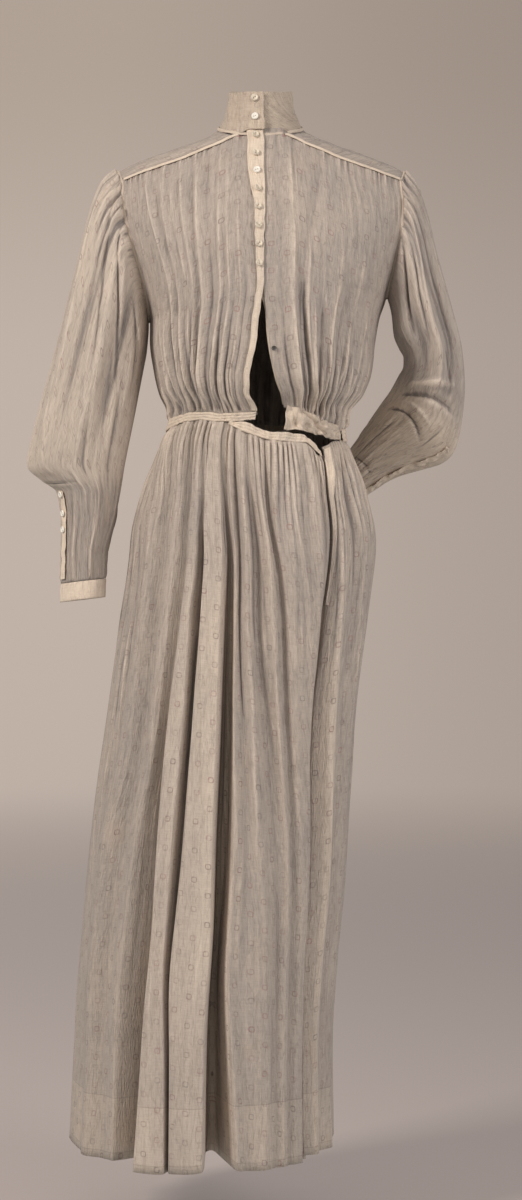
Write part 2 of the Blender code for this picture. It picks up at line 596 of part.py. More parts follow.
def yoke_grid(us, vs):
    """The yoke as a fan of lines from the neck seam out to armholes and back seam.
    u runs from the right front seam round the back to the left front seam, v from the neck outwards."""
    u, v = grid(us, vs)
    side = np.where(u < 0.5, -1, 1)
    t = 1 - np.abs(2 * u - 1)
    start = np.arcsin((YOKE_NECK_X - side * NECK_CENTRE_X) / NECK_HALF_WIDTH)
    angle = side * (start + (math.pi - start) * t)
    inner = neck_point(angle, np.zeros_like(angle))
    inner[..., 2] -= 2 * SEAM_GAP + CLOTH / 2
    outer = np.where((side < 0)[..., None], yoke_outer(-1, t), yoke_outer(1, t))
    points = inner + (outer - inner) * v[..., None]
    slope = np.interp(t, *YOKE_SLOPE)
    points[..., 2] = inner[..., 2] + (outer[..., 2] - inner[..., 2]) * v**slope
    seam_x = np.abs(inner[..., 0] + (outer[..., 0] - inner[..., 0]) * v)
    near = np.clip(1 - t / 0.25, 0, 1) ** 2
    seam_y = column(FRONT_TOP, 1, seam_x) + YOKE_SET_BACK
    seam_z = column(FRONT_TOP, 2, seam_x) + YOKE_SET_UP
    points[..., 1] += (seam_y - points[..., 1]) * near
    points[..., 2] += (seam_z - points[..., 2]) * near
    return points


# Front button strips

def placket_right_grid(us, vs):
    """The right button strip, on the right front from collar to waist."""
    u, v = grid(us, vs)
    top_z = FRONT_TOP[0][2] + STRIP_TOP_RISE
    z = top_z + (front_low(-1, 0.0) - top_z) * v
    inner = column(PLACKET_RIGHT, 1, z)
    x = inner + (column(PLACKET_RIGHT, 2, z) - inner) * u
    return np.stack([x, body_front(-1, x, z) - STRIP_REACH, z], axis=-1)


def placket_left_grid(us, vs):
    """The left button strip, under the right front and then along the left edge of the gap."""
    u, v = grid(us, vs)
    z = FRONT_TOP[0][2] + (front_low(1, 0.0) - FRONT_TOP[0][2]) * v
    x = column(FRONT_EDGES, 2, z) - column(PLACKET_LEFT, 1, z) + column(PLACKET_LEFT, 2, z) * u
    return np.stack([x, body_front(1, x, z) + column(PLACKET_LEFT, 3, z), z], axis=-1)


# Waist

def waist_ring(angle, z, out=0.0):
    """A point on the form at the waist."""
    cx = column(SKIRT_FORM, 1, z)
    cy = column(SKIRT_FORM, 2, z)
    half = column(SKIRT_FORM, 3, z) + out
    front = column(SKIRT_FORM, 4, z) + out
    back = column(SKIRT_FORM, 5, z) + out
    cosine = np.cos(angle)
    y = cy - np.where(cosine > 0, front, back) * cosine
    return np.stack([cx + half * np.sin(angle), y, z + 0 * angle], axis=-1)


def band_grid(table, us, vs, out):
    """A band along a row of angles, from its upper to its lower edge."""
    u, v = grid(us, vs)
    degrees = table[0][0] + (table[-1][0] - table[0][0]) * u
    high = column(table, 1, degrees)
    low = column(table, 2, degrees)
    z = high + (low - high) * v
    return waist_ring(np.radians(degrees), z, out)


# Skirt

def skirt_tracks():
    """Column number, angles and offsets of every ridge and trough."""
    count = np.cumsum([row[1] for row in SKIRT_FOLDS])
    angles = np.array([row[2] for row in SKIRT_FOLDS], float)
    offsets = np.array([row[3] for row in SKIRT_FOLDS], float) / 1000
    return count, angles, offsets


def fold_field(values, columns, z):
    """A quantity of the folds at every column and height, z given for each point of the grid."""
    count = np.cumsum([row[1] for row in SKIRT_FOLDS])
    levels = np.linspace(FOLD_HEIGHTS[0] + 0.03, FOLD_HEIGHTS[-1], 60)
    tracks = np.stack([smooth(FOLD_HEIGHTS, fold, levels) for fold in values], axis=-1)
    field = np.stack([smooth(count, track, columns) for track in tracks])
    return np.stack([np.interp(-z[:, j], -levels, field[:, j]) for j in range(len(columns))], axis=1)


def skirt_top(angle, left_part):
    """Height of the skirt's top edge at an angle round the waist."""
    if left_part:
        back = tuple((row[0] + 360, row[2]) for row in WAISTBAND)
        return column(SKIRT_TOP_LEFT + back, -1, angle) - BAND_GAP
    split = smooth((-26, SKIRT_BAND[0][0]), (0, 1), angle)
    whole, free = column(WAISTBAND, 2, angle), column(SKIRT_BAND, 2, angle)
    return whole + (free - whole) * split - BAND_GAP


def skirt_grid(left_part, columns, vs):
    """The skirt between two numbered gather columns, to one side of its opening."""
    count, angles, offsets = skirt_tracks()
    top_z = skirt_top(smooth(count, angles[:, 0], columns), left_part)
    v = np.asarray(vs, float)[:, None]
    z = top_z[None, :] + (HEM_HEIGHT - top_z[None, :]) * v
    angle = fold_field(angles, columns, z)
    offset = fold_field(offsets, columns, z)
    gather = SKIRT_GATHER * np.exp(-((v * 0.93) / 0.11) ** 1.2) * np.clip(v / SKIRT_ROWS[1], 0, 1)
    spacing = np.radians(np.abs(np.gradient(angle, axis=1))) * WAIST_RADIUS
    gather = np.minimum(gather, 0.40 * spacing) * np.where(np.round(columns) % 2 == 0, 1, -1)[None, :]
    gather[:, 0] = 0
    gather[:, -1] = 0
    rise_angle, rise_width, rise_height = HEM_RISE
    raised = rise_height * np.exp(-((angle - rise_angle) / rise_width) ** 2) * np.clip((v - 0.85) / 0.15, 0, 1)
    return waist_ring(np.radians(angle), z + raised, offset + gather)


def skirt_strip_grid(columns, us, vs):
    """The strip on the left edge of the skirt's opening, moved out from the left panel's first facet."""
    panel = skirt_grid(True, columns, vs)
    edge = panel[:, 0]
    along = panel[:, 1] - edge
    facet = np.linalg.norm(along, axis=1)
    along /= facet[:, None]
    out = np.cross(along, np.gradient(edge, axis=0))
    out /= -np.linalg.norm(out, axis=1, keepdims=True)
    width = np.minimum(smooth(*SKIRT_STRIP_WIDTH, vs), facet)
    reach = np.asarray(us, float)[None, :] * width[:, None]
    return (edge + out * STRIP_REACH)[:, None, :] + along[:, None, :] * reach[..., None]


# Sleeves

def sleeve_ring(side, v, turn):
    """A point of a sleeve: v down from armhole to wrist, turn round it, 0 at the outer edge, front first."""
    rings = SLEEVE_RINGS[side]
    along = np.linspace(0, 1, len(rings))
    read = [smooth(along, [ring[k] for ring in rings], v) for k in range(6)]
    outer_x, outer_z, inner_x, inner_z, centre_y, half_depth = read
    across = (1 + np.cos(turn)) / 2
    x = inner_x + (outer_x - inner_x) * across
    z = inner_z + (outer_z - inner_z) * across
    y = centre_y - half_depth * np.sin(turn)
    return np.stack([x, y, z], axis=-1)


def armhole(side, turn):
    """A point of the armhole seam on the sleeve's side: turn 0 on the shoulder, front first."""
    sign = SIDES[side]
    table = SIDE_EDGES[sign]
    bottom = next(row[0] for row in table if row[2] == 0)
    back_half = turn > math.pi
    down = np.where(back_half, 2 * math.pi - turn, turn)
    top = armhole_top(sign, 0.5 + np.where(back_half, 0.5, -0.5) * np.clip(down / ARMHOLE_CORNER, 0, 1))
    low = np.clip((down - ARMHOLE_CORNER) / (math.pi - ARMHOLE_CORNER), 0, 1)
    corner_z = np.where(back_half, BACK_YOKE_SEAM[-1][1], FRONT_TOP[-1][2])
    z = corner_z + (bottom - corner_z) * np.sin(low * math.pi / 2)
    y = np.where(back_half, column(table, 3, z), column(table, 2, z))
    side_part = np.stack([sign * column(table, 1, z), y, z], axis=-1)
    seam = np.where((down < ARMHOLE_CORNER)[..., None], top, side_part)
    return seam + np.stack([ARMHOLE_GAP * sign + 0 * turn, 0 * turn, 0 * turn], axis=-1)


def sleeve_grid(side, us, vs):
    """A sleeve with the gathers of its head and its long folds."""
    u, v = grid(us, vs)
    turn = 2 * math.pi * u
    points = sleeve_ring(side, v, turn)
    joined = np.clip(1 - v / HEAD_LENGTH, 0, 1) ** 2
    points += (armhole(side, turn) - points) * joined[..., None]
    offset = np.zeros_like(u)
    degrees = 360 * u
    for centre, start, end, height, width in SLEEVE_FOLDS:
        away = (degrees - centre + 180) % 360 - 180
        along = np.sin(math.pi * np.clip((v - start) / (end - start), 0, 1)) ** 0.8
        offset += height / 1000 * np.exp(-(away / width) ** 2) * along
    head = np.clip((np.cos(turn) + 0.35) / 0.6, 0, 1)
    offset += SLEEVE_GATHER * head * zigzag(len(us))[None, :] * np.exp(-v / 0.10) * np.clip(v / 0.02, 0, 1)
    centre = points.mean(axis=1, keepdims=True)
    outwards = points - centre
    outwards /= np.maximum(np.linalg.norm(outwards, axis=2, keepdims=True), 1e-9)
    points = points + outwards * offset[..., None]
    points[:, -1] = points[:, 0]
    return points


def cuff_grid(side, us, vs):
    """A cuff that carries on from the end of its sleeve."""
    u, v = grid(us, vs)
    turn = 2 * math.pi * u
    end = sleeve_ring(side, np.ones_like(u), turn)
    before = sleeve_ring(side, np.full_like(u, 0.97), turn)
    along = (end - before).mean(axis=(0, 1))
    along /= np.linalg.norm(along)
    points = end + along * (SEAM_GAP + CLOTH * 0.2 + CUFF_LENGTH * v)[..., None]
    points[:, -1] = points[:, 0]
    return points


def sleeve_strip_grid(side, us, vs):
    """A strip that lies on the sleeve along its outer lower edge."""
    turn = math.radians(SLEEVE_STRIPS[side][0])
    u, v = grid(us, vs)
    centre = sleeve_ring(side, v, np.full_like(v, turn))
    ahead, behind = [sleeve_ring(side, v, np.full_like(v, turn + step)) for step in (TURN_STEP, -TURN_STEP)]
    across = ahead - behind
    across /= np.linalg.norm(across, axis=2, keepdims=True)
    middle = (sleeve_ring(side, v, np.zeros_like(v)) + sleeve_ring(side, v, np.full_like(v, math.pi))) / 2
    outwards = centre - middle
    outwards -= across * (outwards * across).sum(axis=2, keepdims=True)
    outwards /= np.linalg.norm(outwards, axis=2, keepdims=True)
    return centre + across * ((u - 0.5) * SLEEVE_STRIP_WIDTH)[..., None] + outwards * STRIP_REACH


def strip_rows(side):
    """The rows of a sleeve that its button strip lies on."""
    return [v for v in SLEEVE_ROWS if v >= SLEEVE_STRIPS[side][1]][:-1] + [SLEEVE_STRIP_END]


# Making the objects

def material(name):
    """A plain Principled material of one finish."""
    colour, roughness = FINISHES[name]
    made = bpy.data.materials.new(name)
    made.use_nodes = True
    shader = made.node_tree.nodes["Principled BSDF"]
    shader.inputs["Base Color"].default_value = (*colour, 1)
    shader.inputs["Roughness"].default_value = roughness
    shader.inputs["Metallic"].default_value = 0
    return made


def cloth(name, points, finish, collection, thickness=CLOTH, closed=False):
    """A cloth wall through a grid of points, as a grid primitive shaped to them, with Solidify."""
    rows, columns = points.shape[:2]
    mesh = bpy.data.meshes.new(name)
    work = bmesh.new()
    bmesh.ops.create_grid(work, x_segments=columns - 1, y_segments=rows - 1, size=0.5)
    for vertex in work.verts:
        i = round((vertex.co.x + 0.5) * (columns - 1))
        j = round((0.5 - vertex.co.y) * (rows - 1))
        vertex.co = points[j, i]
    if closed:
        bmesh.ops.remove_doubles(work, verts=work.verts, dist=1e-6)
    work.to_mesh(mesh)
    work.free()
    mesh.shade_smooth()
    made = bpy.data.objects.new(name, mesh)
    made.data.materials.append(material(finish))
    wall = made.modifiers.new("wall", "SOLIDIFY")
    wall.thickness = thickness
    wall.offset = 0
    wall.use_even_offset = False
    collection.objects.link(made)
    return made


def button(name, centre, outwards, collection, radius=BUTTON_RADIUS):
    """A flat round pearl button with a dished face, turned from its profile."""
    half = BUTTON_THICKNESS / 2
    profile = ((0.0, half * 0.35), (radius * 0.62, half * 0.35), (radius * 0.88, half), (radius, 0.0),
               (radius * 0.88, -half), (0.0, -half))
    mesh = bpy.data.meshes.new(name)
    corners = [(distance, 0, height) for distance, height in profile]
    mesh.from_pydata(corners, [(k, k + 1) for k in range(len(corners) - 1)], [])
    made = bpy.data.objects.new(name, mesh)
    made.data.materials.append(material("pearl"))
    turned = made.modifiers.new("turned", "SCREW")
    turned.steps = BUTTON_SIDES
    turned.render_steps = BUTTON_SIDES
    turned.use_merge_vertices = True
    turned.merge_threshold = 1e-5
    out = np.array(outwards, float)
    out /= np.linalg.norm(out)
    made.rotation_mode = "QUATERNION"
    made.rotation_quaternion = Vector((0, 0, 1)).rotation_difference(Vector(out))
    made.location = np.array(centre) + out * (half + LAY_GAP)
    collection.objects.link(made)
    return made


def on_strip(strip, x, z):
    """Points of a strip's facets at x and z, for a strip that runs down the front."""
    found = np.empty(np.shape(x) + (3,))
    for place in np.ndindex(np.shape(x)):
        row = np.array([np.interp(-z[place], -strip[:, k, 2], strip[:, k, i])
                        for k in range(strip.shape[1]) for i in (0, 1)]).reshape(-1, 2)
        found[place] = (x[place], np.interp(x[place], row[:, 0], row[:, 1]), z[place])
    return found


def front_buttons(collection):
    """Buttons on the collar's end and down the right strip, then a small one on the left front edge."""
    strip = placket_right_grid(PLACKET_COLUMNS, FRONT_ROWS)
    collar_end = collar_surface(*grid(spread(COLLAR_COLUMNS), COLLAR_ROWS))[:, COLLAR_END_COLUMN::-1]
    for number in range(FRONT_BUTTONS):
        z = FIRST_BUTTON_HEIGHT - BUTTON_PITCH * number
        x = FIRST_BUTTON_X + BUTTON_DRIFT * number
        across, height = grid([x + STEP, x, x - STEP], [z + STEP, z, z - STEP])
        around = on_strip(collar_end if number < COLLAR_BUTTONS else strip, across, height)
        out = normals(around)[1, 1]
        button(f"button_front_{number + 1}", around[1, 1] + out * DOUBLED_CLOTH / 2, out, collection)
    x, z = INNER_BUTTON
    across, height = grid([x + STEP, x, x - STEP], [z + STEP, z, z - STEP])
    around = np.stack([across, body_front(1, across, height), height], axis=-1)
    out = normals(around)[1, 1]
    button("button_inner", around[1, 1] + out * CLOTH / 2, out, collection, INNER_BUTTON_RADIUS)


def sleeve_buttons(collection):
    """Buttons down the strip of the right sleeve."""
    rows = strip_rows("right")
    strip = sleeve_strip_grid("right", NARROW_COLUMNS, rows)
    for number, v in enumerate(SLEEVE_BUTTON_ROWS):
        near = [v - ROW_STEP, v, v + ROW_STEP]
        around = np.stack([[np.interp(near, rows, strip[:, i, k]) for i in range(3)] for k in range(3)], axis=-1)
        out = normals(around.transpose(1, 0, 2))[1, 1]
        out = out * np.sign(-out[0])
        centre = around[1, 1] + out * (CLOTH / 2 + LAY_GAP / 2)
        button(f"button_sleeve_{number + 1}", centre, out, collection, SLEEVE_BUTTON_RADIUS)


def spread(count):
    """Even fractions from 0 to 1."""
    return np.linspace(0, 1, count)


def make_bodice(dress):
    """Fronts, back, yoke, collar and the two front button strips."""
    for name, side in SIDES.items():
        cloth("bodice_front_" + name, bodice_front_grid(side, spread(FRONT_COLUMNS), FRONT_ROWS), "voile", dress)
    cloth("bodice_back", bodice_back_grid(spread(BACK_COLUMNS), BACK_ROWS), "voile", dress)
    cloth("yoke", yoke_grid(spread(YOKE_COLUMNS), YOKE_ROWS), "voile", dress)
    collar = collar_surface(*grid(spread(COLLAR_COLUMNS), COLLAR_ROWS))
    cloth("collar", collar, "doubled_cloth", dress, DOUBLED_CLOTH)
    cloth("placket_right", placket_right_grid(PLACKET_COLUMNS, FRONT_ROWS), "doubled_cloth", dress)
    cloth("placket_left", placket_left_grid(NARROW_COLUMNS, FRONT_ROWS), "doubled_cloth", dress)


def make_bands(dress):
    """The waistband and the two free ends of bands at the left front."""
    cloth("waistband", band_grid(WAISTBAND, spread(WAISTBAND_COLUMNS), (0, 1), BAND_REACH), "doubled_cloth", dress)
    free_end = band_grid(BAND_FRONT_LEFT, spread(LEFT_BAND_COLUMNS), (0, 0.5, 1), BAND_REACH)
    cloth("waistband_front_left", free_end, "doubled_cloth", dress)
    skirt_end = band_grid(SKIRT_BAND, spread(SKIRT_BAND_COLUMNS), (0, 1), BAND_REACH)
    cloth("skirt_band", skirt_end, "doubled_cloth", dress)


def make_skirt(dress):
    """The two skirt panels, parted at the opening and the right side, and the strip at the opening."""
    count, _, _ = skirt_tracks()
    names = [row[0] for row in SKIRT_FOLDS]
    opening = int(count[names.index(OPENING_FOLD)])
    front_columns = np.arange(0, opening + 1, dtype=float)
    back_columns = np.arange(opening, count[-1] + 1, dtype=float)
    front_columns[0] += SIDE_SLIT
    front_columns[-1] -= OPENING_SLIT
    back_columns[0] += OPENING_SLIT
    back_columns[-1] -= SIDE_SLIT
    cloth("skirt_front", skirt_grid(False, front_columns, SKIRT_ROWS), "voile", dress)
    cloth("skirt_back", skirt_grid(True, back_columns, SKIRT_ROWS), "voile", dress)
    strip = skirt_strip_grid(back_columns[:3], (0, 1), SKIRT_ROWS[:SKIRT_STRIP_ROWS])
    cloth("skirt_placket", strip, "doubled_cloth", dress)


def make_sleeves(dress):
    """Sleeves, cuffs and the button strips of the sleeves."""
    for side in SIDES:
        sleeve = sleeve_grid(side, spread(SLEEVE_COLUMNS), SLEEVE_ROWS)
        cloth("sleeve_" + side, sleeve, "voile", dress, closed=True)
        cuff = cuff_grid(side, spread(CUFF_COLUMNS), (0, 1))
        cloth("cuff_" + side, cuff, "doubled_cloth", dress, closed=True)
        strip = sleeve_strip_grid(side, NARROW_COLUMNS, strip_rows(side))
        cloth("sleeve_placket_" + side, strip, "doubled_cloth", dress)


def build():
    """The whole dress."""
    for old in list(bpy.data.objects):
        bpy.data.objects.remove(old, do_unlink=True)
    dress = bpy.data.collections.new("cotton_dress")
    bpy.context.scene.collection.children.link(dress)
    make_bodice(dress)
    make_bands(dress)
    make_skirt(dress)
    make_sleeves(dress)
    front_buttons(dress)
    sleeve_buttons(dress)


build()
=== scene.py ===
# Cotton day dress of about 1905: the looks of its cloth, seams, buttons and print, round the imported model.
# Metres. +X is the wearer's left, the front faces -Y, the origin lies at the neck, level with the shoulders.
import math

import bmesh
import bpy
import numpy as np
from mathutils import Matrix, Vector


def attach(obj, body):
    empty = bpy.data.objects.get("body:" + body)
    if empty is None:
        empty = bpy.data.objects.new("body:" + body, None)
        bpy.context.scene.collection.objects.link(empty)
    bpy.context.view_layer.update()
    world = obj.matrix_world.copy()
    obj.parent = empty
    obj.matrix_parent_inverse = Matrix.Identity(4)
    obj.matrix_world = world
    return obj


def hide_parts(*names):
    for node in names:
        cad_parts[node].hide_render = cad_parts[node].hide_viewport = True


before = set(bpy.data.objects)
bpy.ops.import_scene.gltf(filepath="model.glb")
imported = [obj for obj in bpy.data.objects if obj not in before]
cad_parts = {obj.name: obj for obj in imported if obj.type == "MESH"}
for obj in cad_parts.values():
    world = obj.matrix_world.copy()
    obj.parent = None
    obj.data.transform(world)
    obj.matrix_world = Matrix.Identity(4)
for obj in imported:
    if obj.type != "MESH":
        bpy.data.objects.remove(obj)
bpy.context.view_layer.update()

# Thickness of the thin shells, size of the print and pitch of the weave, in metres
CLOTH = 0.0005
DOUBLED_CLOTH = 0.0008
STIFF_CLOTH = 0.0009
PRINT_ACROSS = 0.0175
PRINT_DOWN = 0.036
PRINT_RADIUS = 0.0033
PRINT_LINE = 0.0011
WEAVE_PITCH = 0.0008

# Colours of the cloth, linear; those for ridges are painted highlight and those for troughs painted shade
VOILE_PAINTED_HIGHLIGHT = (0.82, 0.70, 0.585, 1)
VOILE_FLAT = (0.505, 0.435, 0.38, 1)
VOILE_PAINTED_SHADE = (0.28, 0.245, 0.225, 1)
CREAM_PAINTED_HIGHLIGHT = (0.93, 0.80, 0.66, 1)
CREAM = (0.82, 0.69, 0.56, 1)
CREAM_PAINTED_SHADE = (0.46, 0.36, 0.28, 1)
COLLAR_FLAT = (0.57, 0.47, 0.375, 1)
SEAM_FLAT = (0.54, 0.45, 0.37, 1)
# Multiplied in as painted shade along thin groove lines, and as the own colour of stitches and speckle
LINE_DARK = (0.60, 0.57, 0.56, 1)
BROAD_DARK = (0.88, 0.89, 0.91, 1)
WHITE = (1.0, 1.0, 1.0, 1)
STAIN = (0.60, 0.47, 0.37, 1)
PRINT_GREY = (0.22, 0.185, 0.17, 1)
PRINT_PINK = (0.36, 0.20, 0.185, 1)
# Looks of the cloths: colour on ridges as painted highlight, flat colour, colour in troughs as painted shade,
# how crinkled, how strongly printed
CLOTH_LOOKS = {
    "crinkled voile": (VOILE_PAINTED_HIGHLIGHT, VOILE_FLAT, VOILE_PAINTED_SHADE, 0.8, 0.80),
    "doubled cloth": (CREAM_PAINTED_HIGHLIGHT, CREAM, CREAM_PAINTED_SHADE, 0.6, 0.45),
    "collar cloth": (CREAM_PAINTED_HIGHLIGHT, COLLAR_FLAT, CREAM_PAINTED_SHADE, 0.8, 0.7),
    "seam cloth": (CREAM, SEAM_FLAT, CREAM_PAINTED_SHADE, 0.6, 0.0),
}
# Looks of pearl and thread: colour, roughness, mottling, depth of its relief in metres and its fineness
PLAIN_LOOKS = {
    "pearl": ((0.92, 0.88, 0.80, 1), 0.22, 0.12, 0.0002, 260),
    # A darker copy of the pearl for the more tilted buttons: painted shade
    "shaded pearl": ((0.80, 0.70, 0.57, 1), 0.35, 0.35, 0.0002, 300),
    "dark pearl": ((0.10, 0.09, 0.09, 1), 0.25, 0.3, 0.0002, 260),
    "thread": ((0.26, 0.20, 0.15, 1), 0.85, 0.3, 0.0003, 900),
}

# Unevenness
NOISE_CELLS = 64
HOLLOW_DEPTH = 0.0040
CREST_HEIGHT = 0.0008
CREASE_STEPS = 13
GATHER_SIZES = ((1, 0.60, 0.45), (2.1, 1.0, 1.0), (4.7, 1.0, 1.7))
RIBBON_SHARES = (-1, -0.6, 0, 0.6, 1)

# Numbers of points across and down each piece
FRONT_CELLS = (190, 122)
BACK_CELLS = (180, 86)
YOKE_CELLS = (240, 30)
COLLAR_CELLS = (160, 34)
CUFF_CELLS = (90, 12)
STRIP_CELLS = (9, 110)
SLEEVE_CELLS = (180, 120)
SKIRT_FRONT_CELLS = (440, 102)
SKIRT_BACK_CELLS = (300, 98)
PLACKET_RIGHT_CELLS = (13, 220)
PLACKET_LEFT_CELLS = (9, 200)
BAND_CELLS = (560, 13)
LEFT_BAND_CELLS = (140, 21)
SKIRT_BAND_CELLS = (200, 13)
SKIRT_STRIP_CELLS = (5, 120)
GRAIN_STEPS = 200
# Extra rows of bodice and skirt that run on under the bands, as shares of the piece's length,
# and how far inside the bands they lie
UNDER_BAND = (1.006, 1.012)
OVER_TOP = (-0.004, -0.002)
UNDER_DEPTH = 0.0015
# How much closer the skirt's rows lie near its band than at its hem
ROW_CROWDING = 1.3

# Folds drawn one by one: u at yoke, u at waist, bend, v from, v to, height in mm, half width in mm, lean
FRONT_FOLDS_RIGHT = (
    (0.875, 0.590, 0.020, 0.00, 0.96, 2.4, 6.5, 0.8),
    (0.790, 0.510, 0.000, 0.00, 0.94, 3.0, 7.0, 0.8),
    (0.679, 0.455, 0.010, 0.02, 0.96, 3.4, 8.0, 0.6),
    (0.596, 0.415, 0.000, 0.04, 0.90, 2.4, 6.0, 0.6),
    (0.518, 0.406, -0.010, 0.00, 0.96, 3.8, 8.0, 0.8),
    (0.402, 0.346, 0.010, 0.00, 0.96, 4.4, 9.0, 0.5),
    (0.258, 0.274, -0.010, 0.00, 0.97, 3.8, 8.0, 0.8),
    (0.194, 0.205, 0.005, 0.05, 0.97, 2.6, 5.0, 0.6),
    (0.131, 0.131, 0.000, 0.20, 0.98, 2.4, 5.0, 0.5),
    (0.330, 0.310, 0.000, 0.00, 1.00, -4.6, 6.0, 0.5),
    (0.460, 0.376, 0.005, 0.00, 0.98, -3.2, 6.0, 0.5),
    (0.640, 0.435, 0.005, 0.30, 0.98, -3.4, 6.0, 0.5),
    (0.735, 0.480, 0.000, 0.05, 0.98, -3.4, 7.0, 0.5),
    (0.840, 0.550, 0.010, 0.25, 0.98, -3.8, 7.0, 0.5),
    (0.980, 0.640, 0.015, 0.45, 0.98, 3.0, 7.0, 0.5),
    (1.040, 0.690, 0.010, 0.52, 0.98, -3.6, 7.0, 0.5),
    (0.165, 0.170, 0.000, 0.40, 1.00, -4.6, 5.0, 0.6),
    (0.095, 0.095, 0.000, 0.46, 1.00, -3.4, 4.0, 0.6),
    (0.226, 0.240, 0.000, 0.30, 1.00, -4.4, 5.0, 0.6),
    (0.500, 0.432, 0.000, 0.62, 1.00, -2.6, 5.0, 0.5),
    (1.130, 0.800, 0.000, 0.62, 1.00, -2.6, 6.0, 0.5),
)
FRONT_FOLDS_LEFT = (
    (0.170, 0.170, 0.000, 0.03, 0.98, 4.6, 8.0, 0.7),
    (0.390, 0.205, -0.070, 0.00, 0.97, -4.4, 9.0, 0.8),
    (0.100, 0.095, 0.000, 0.02, 0.97, -3.0, 5.0, 0.5),
    (0.290, 0.260, -0.010, 0.35, 0.98, 3.0, 7.0, 0.5),
    (0.360, 0.325, 0.000, 0.50, 0.98, -3.2, 7.0, 0.5),
    (0.560, 0.350, 0.020, 0.42, 0.98, 3.2, 8.0, 0.5),
    (0.640, 0.400, 0.020, 0.50, 0.98, -4.4, 8.0, -0.5),
    (0.760, 0.460, 0.020, 0.34, 0.98, 3.0, 9.0, -0.5),
    (0.860, 0.520, 0.015, 0.45, 0.98, -4.0, 8.0, 0.5),
    (0.950, 0.600, 0.010, 0.55, 0.98, 3.4, 7.0, 0.5),
    (0.245, 0.240, 0.000, 0.50, 1.00, -5.5, 5.0, 0.6),
    (0.330, 0.285, 0.000, 0.60, 1.00, 4.5, 4.5, 0.6),
    (0.430, 0.320, 0.000, 0.58, 1.00, -5.0, 5.0, 0.6),
    (1.050, 0.680, 0.000, 0.62, 1.00, -3.6, 6.5, 0.6),
    (1.120, 0.780, 0.000, 0.66, 1.00, 2.6, 6.0, 0.6),
)
BACK_FOLDS = (
    (0.08, 0.18, 0.00, 0.02, 0.95, 2.4, 10.0, 0.6),
    (0.17, 0.27, 0.01, 0.00, 0.97, -2.6, 9.0, -0.5),
    (0.24, 0.33, 0.00, 0.02, 0.96, 2.8, 9.0, 0.7),
    (0.33, 0.39, -0.01, 0.00, 0.97, -2.4, 8.0, 0.5),
    (0.41, 0.44, 0.01, 0.03, 0.97, 3.0, 9.0, -0.6),
    (0.50, 0.50, 0.00, 0.00, 0.97, -2.8, 9.0, 0.4),
    (0.58, 0.55, -0.01, 0.02, 0.95, 2.6, 9.0, 0.6),
    (0.66, 0.61, 0.00, 0.00, 0.97, -2.4, 8.0, -0.6),
    (0.75, 0.67, 0.01, 0.04, 0.96, 2.8, 10.0, 0.7),
    (0.84, 0.74, 0.00, 0.00, 0.97, -2.4, 9.0, 0.5),
    (0.92, 0.82, 0.00, 0.04, 0.93, 2.2, 9.0, -0.5),
)
# Creases drawn one by one: start, middle and end across and down the cloth, height in mm, half width in mm
COLLAR_CREASES = (
    (0.020, 0.020, 0.030, 0.024, 0.040, 0.022, 1.0, 1.6),
    (0.024, 0.030, 0.040, 0.034, 0.052, 0.028, 0.9, 1.8),
    (0.030, 0.036, 0.046, 0.030, 0.060, 0.036, -0.8, 1.8),
)
LEFT_BAND_CREASES = (
    (0.016, 0.001, 0.045, 0.008, 0.072, 0.024, -3.2, 2.0),
    (0.024, 0.000, 0.052, 0.005, 0.080, 0.018, 2.6, 1.8),
    (0.008, 0.004, 0.014, 0.012, 0.010, 0.024, -2.2, 1.6),
    (0.030, 0.013, 0.050, 0.020, 0.078, 0.026, 2.2, 2.2),
    (0.012, 0.019, 0.035, 0.026, 0.064, 0.028, -2.0, 1.8),
    (0.078, 0.000, 0.074, 0.008, 0.080, 0.016, -1.8, 1.6),
)
BAND_END_CREASES = (
    (0.470, 0.003, 0.476, 0.008, 0.486, 0.013, -1.4, 1.4),
    (0.480, 0.001, 0.487, 0.006, 0.492, 0.009, 1.2, 1.4),
)
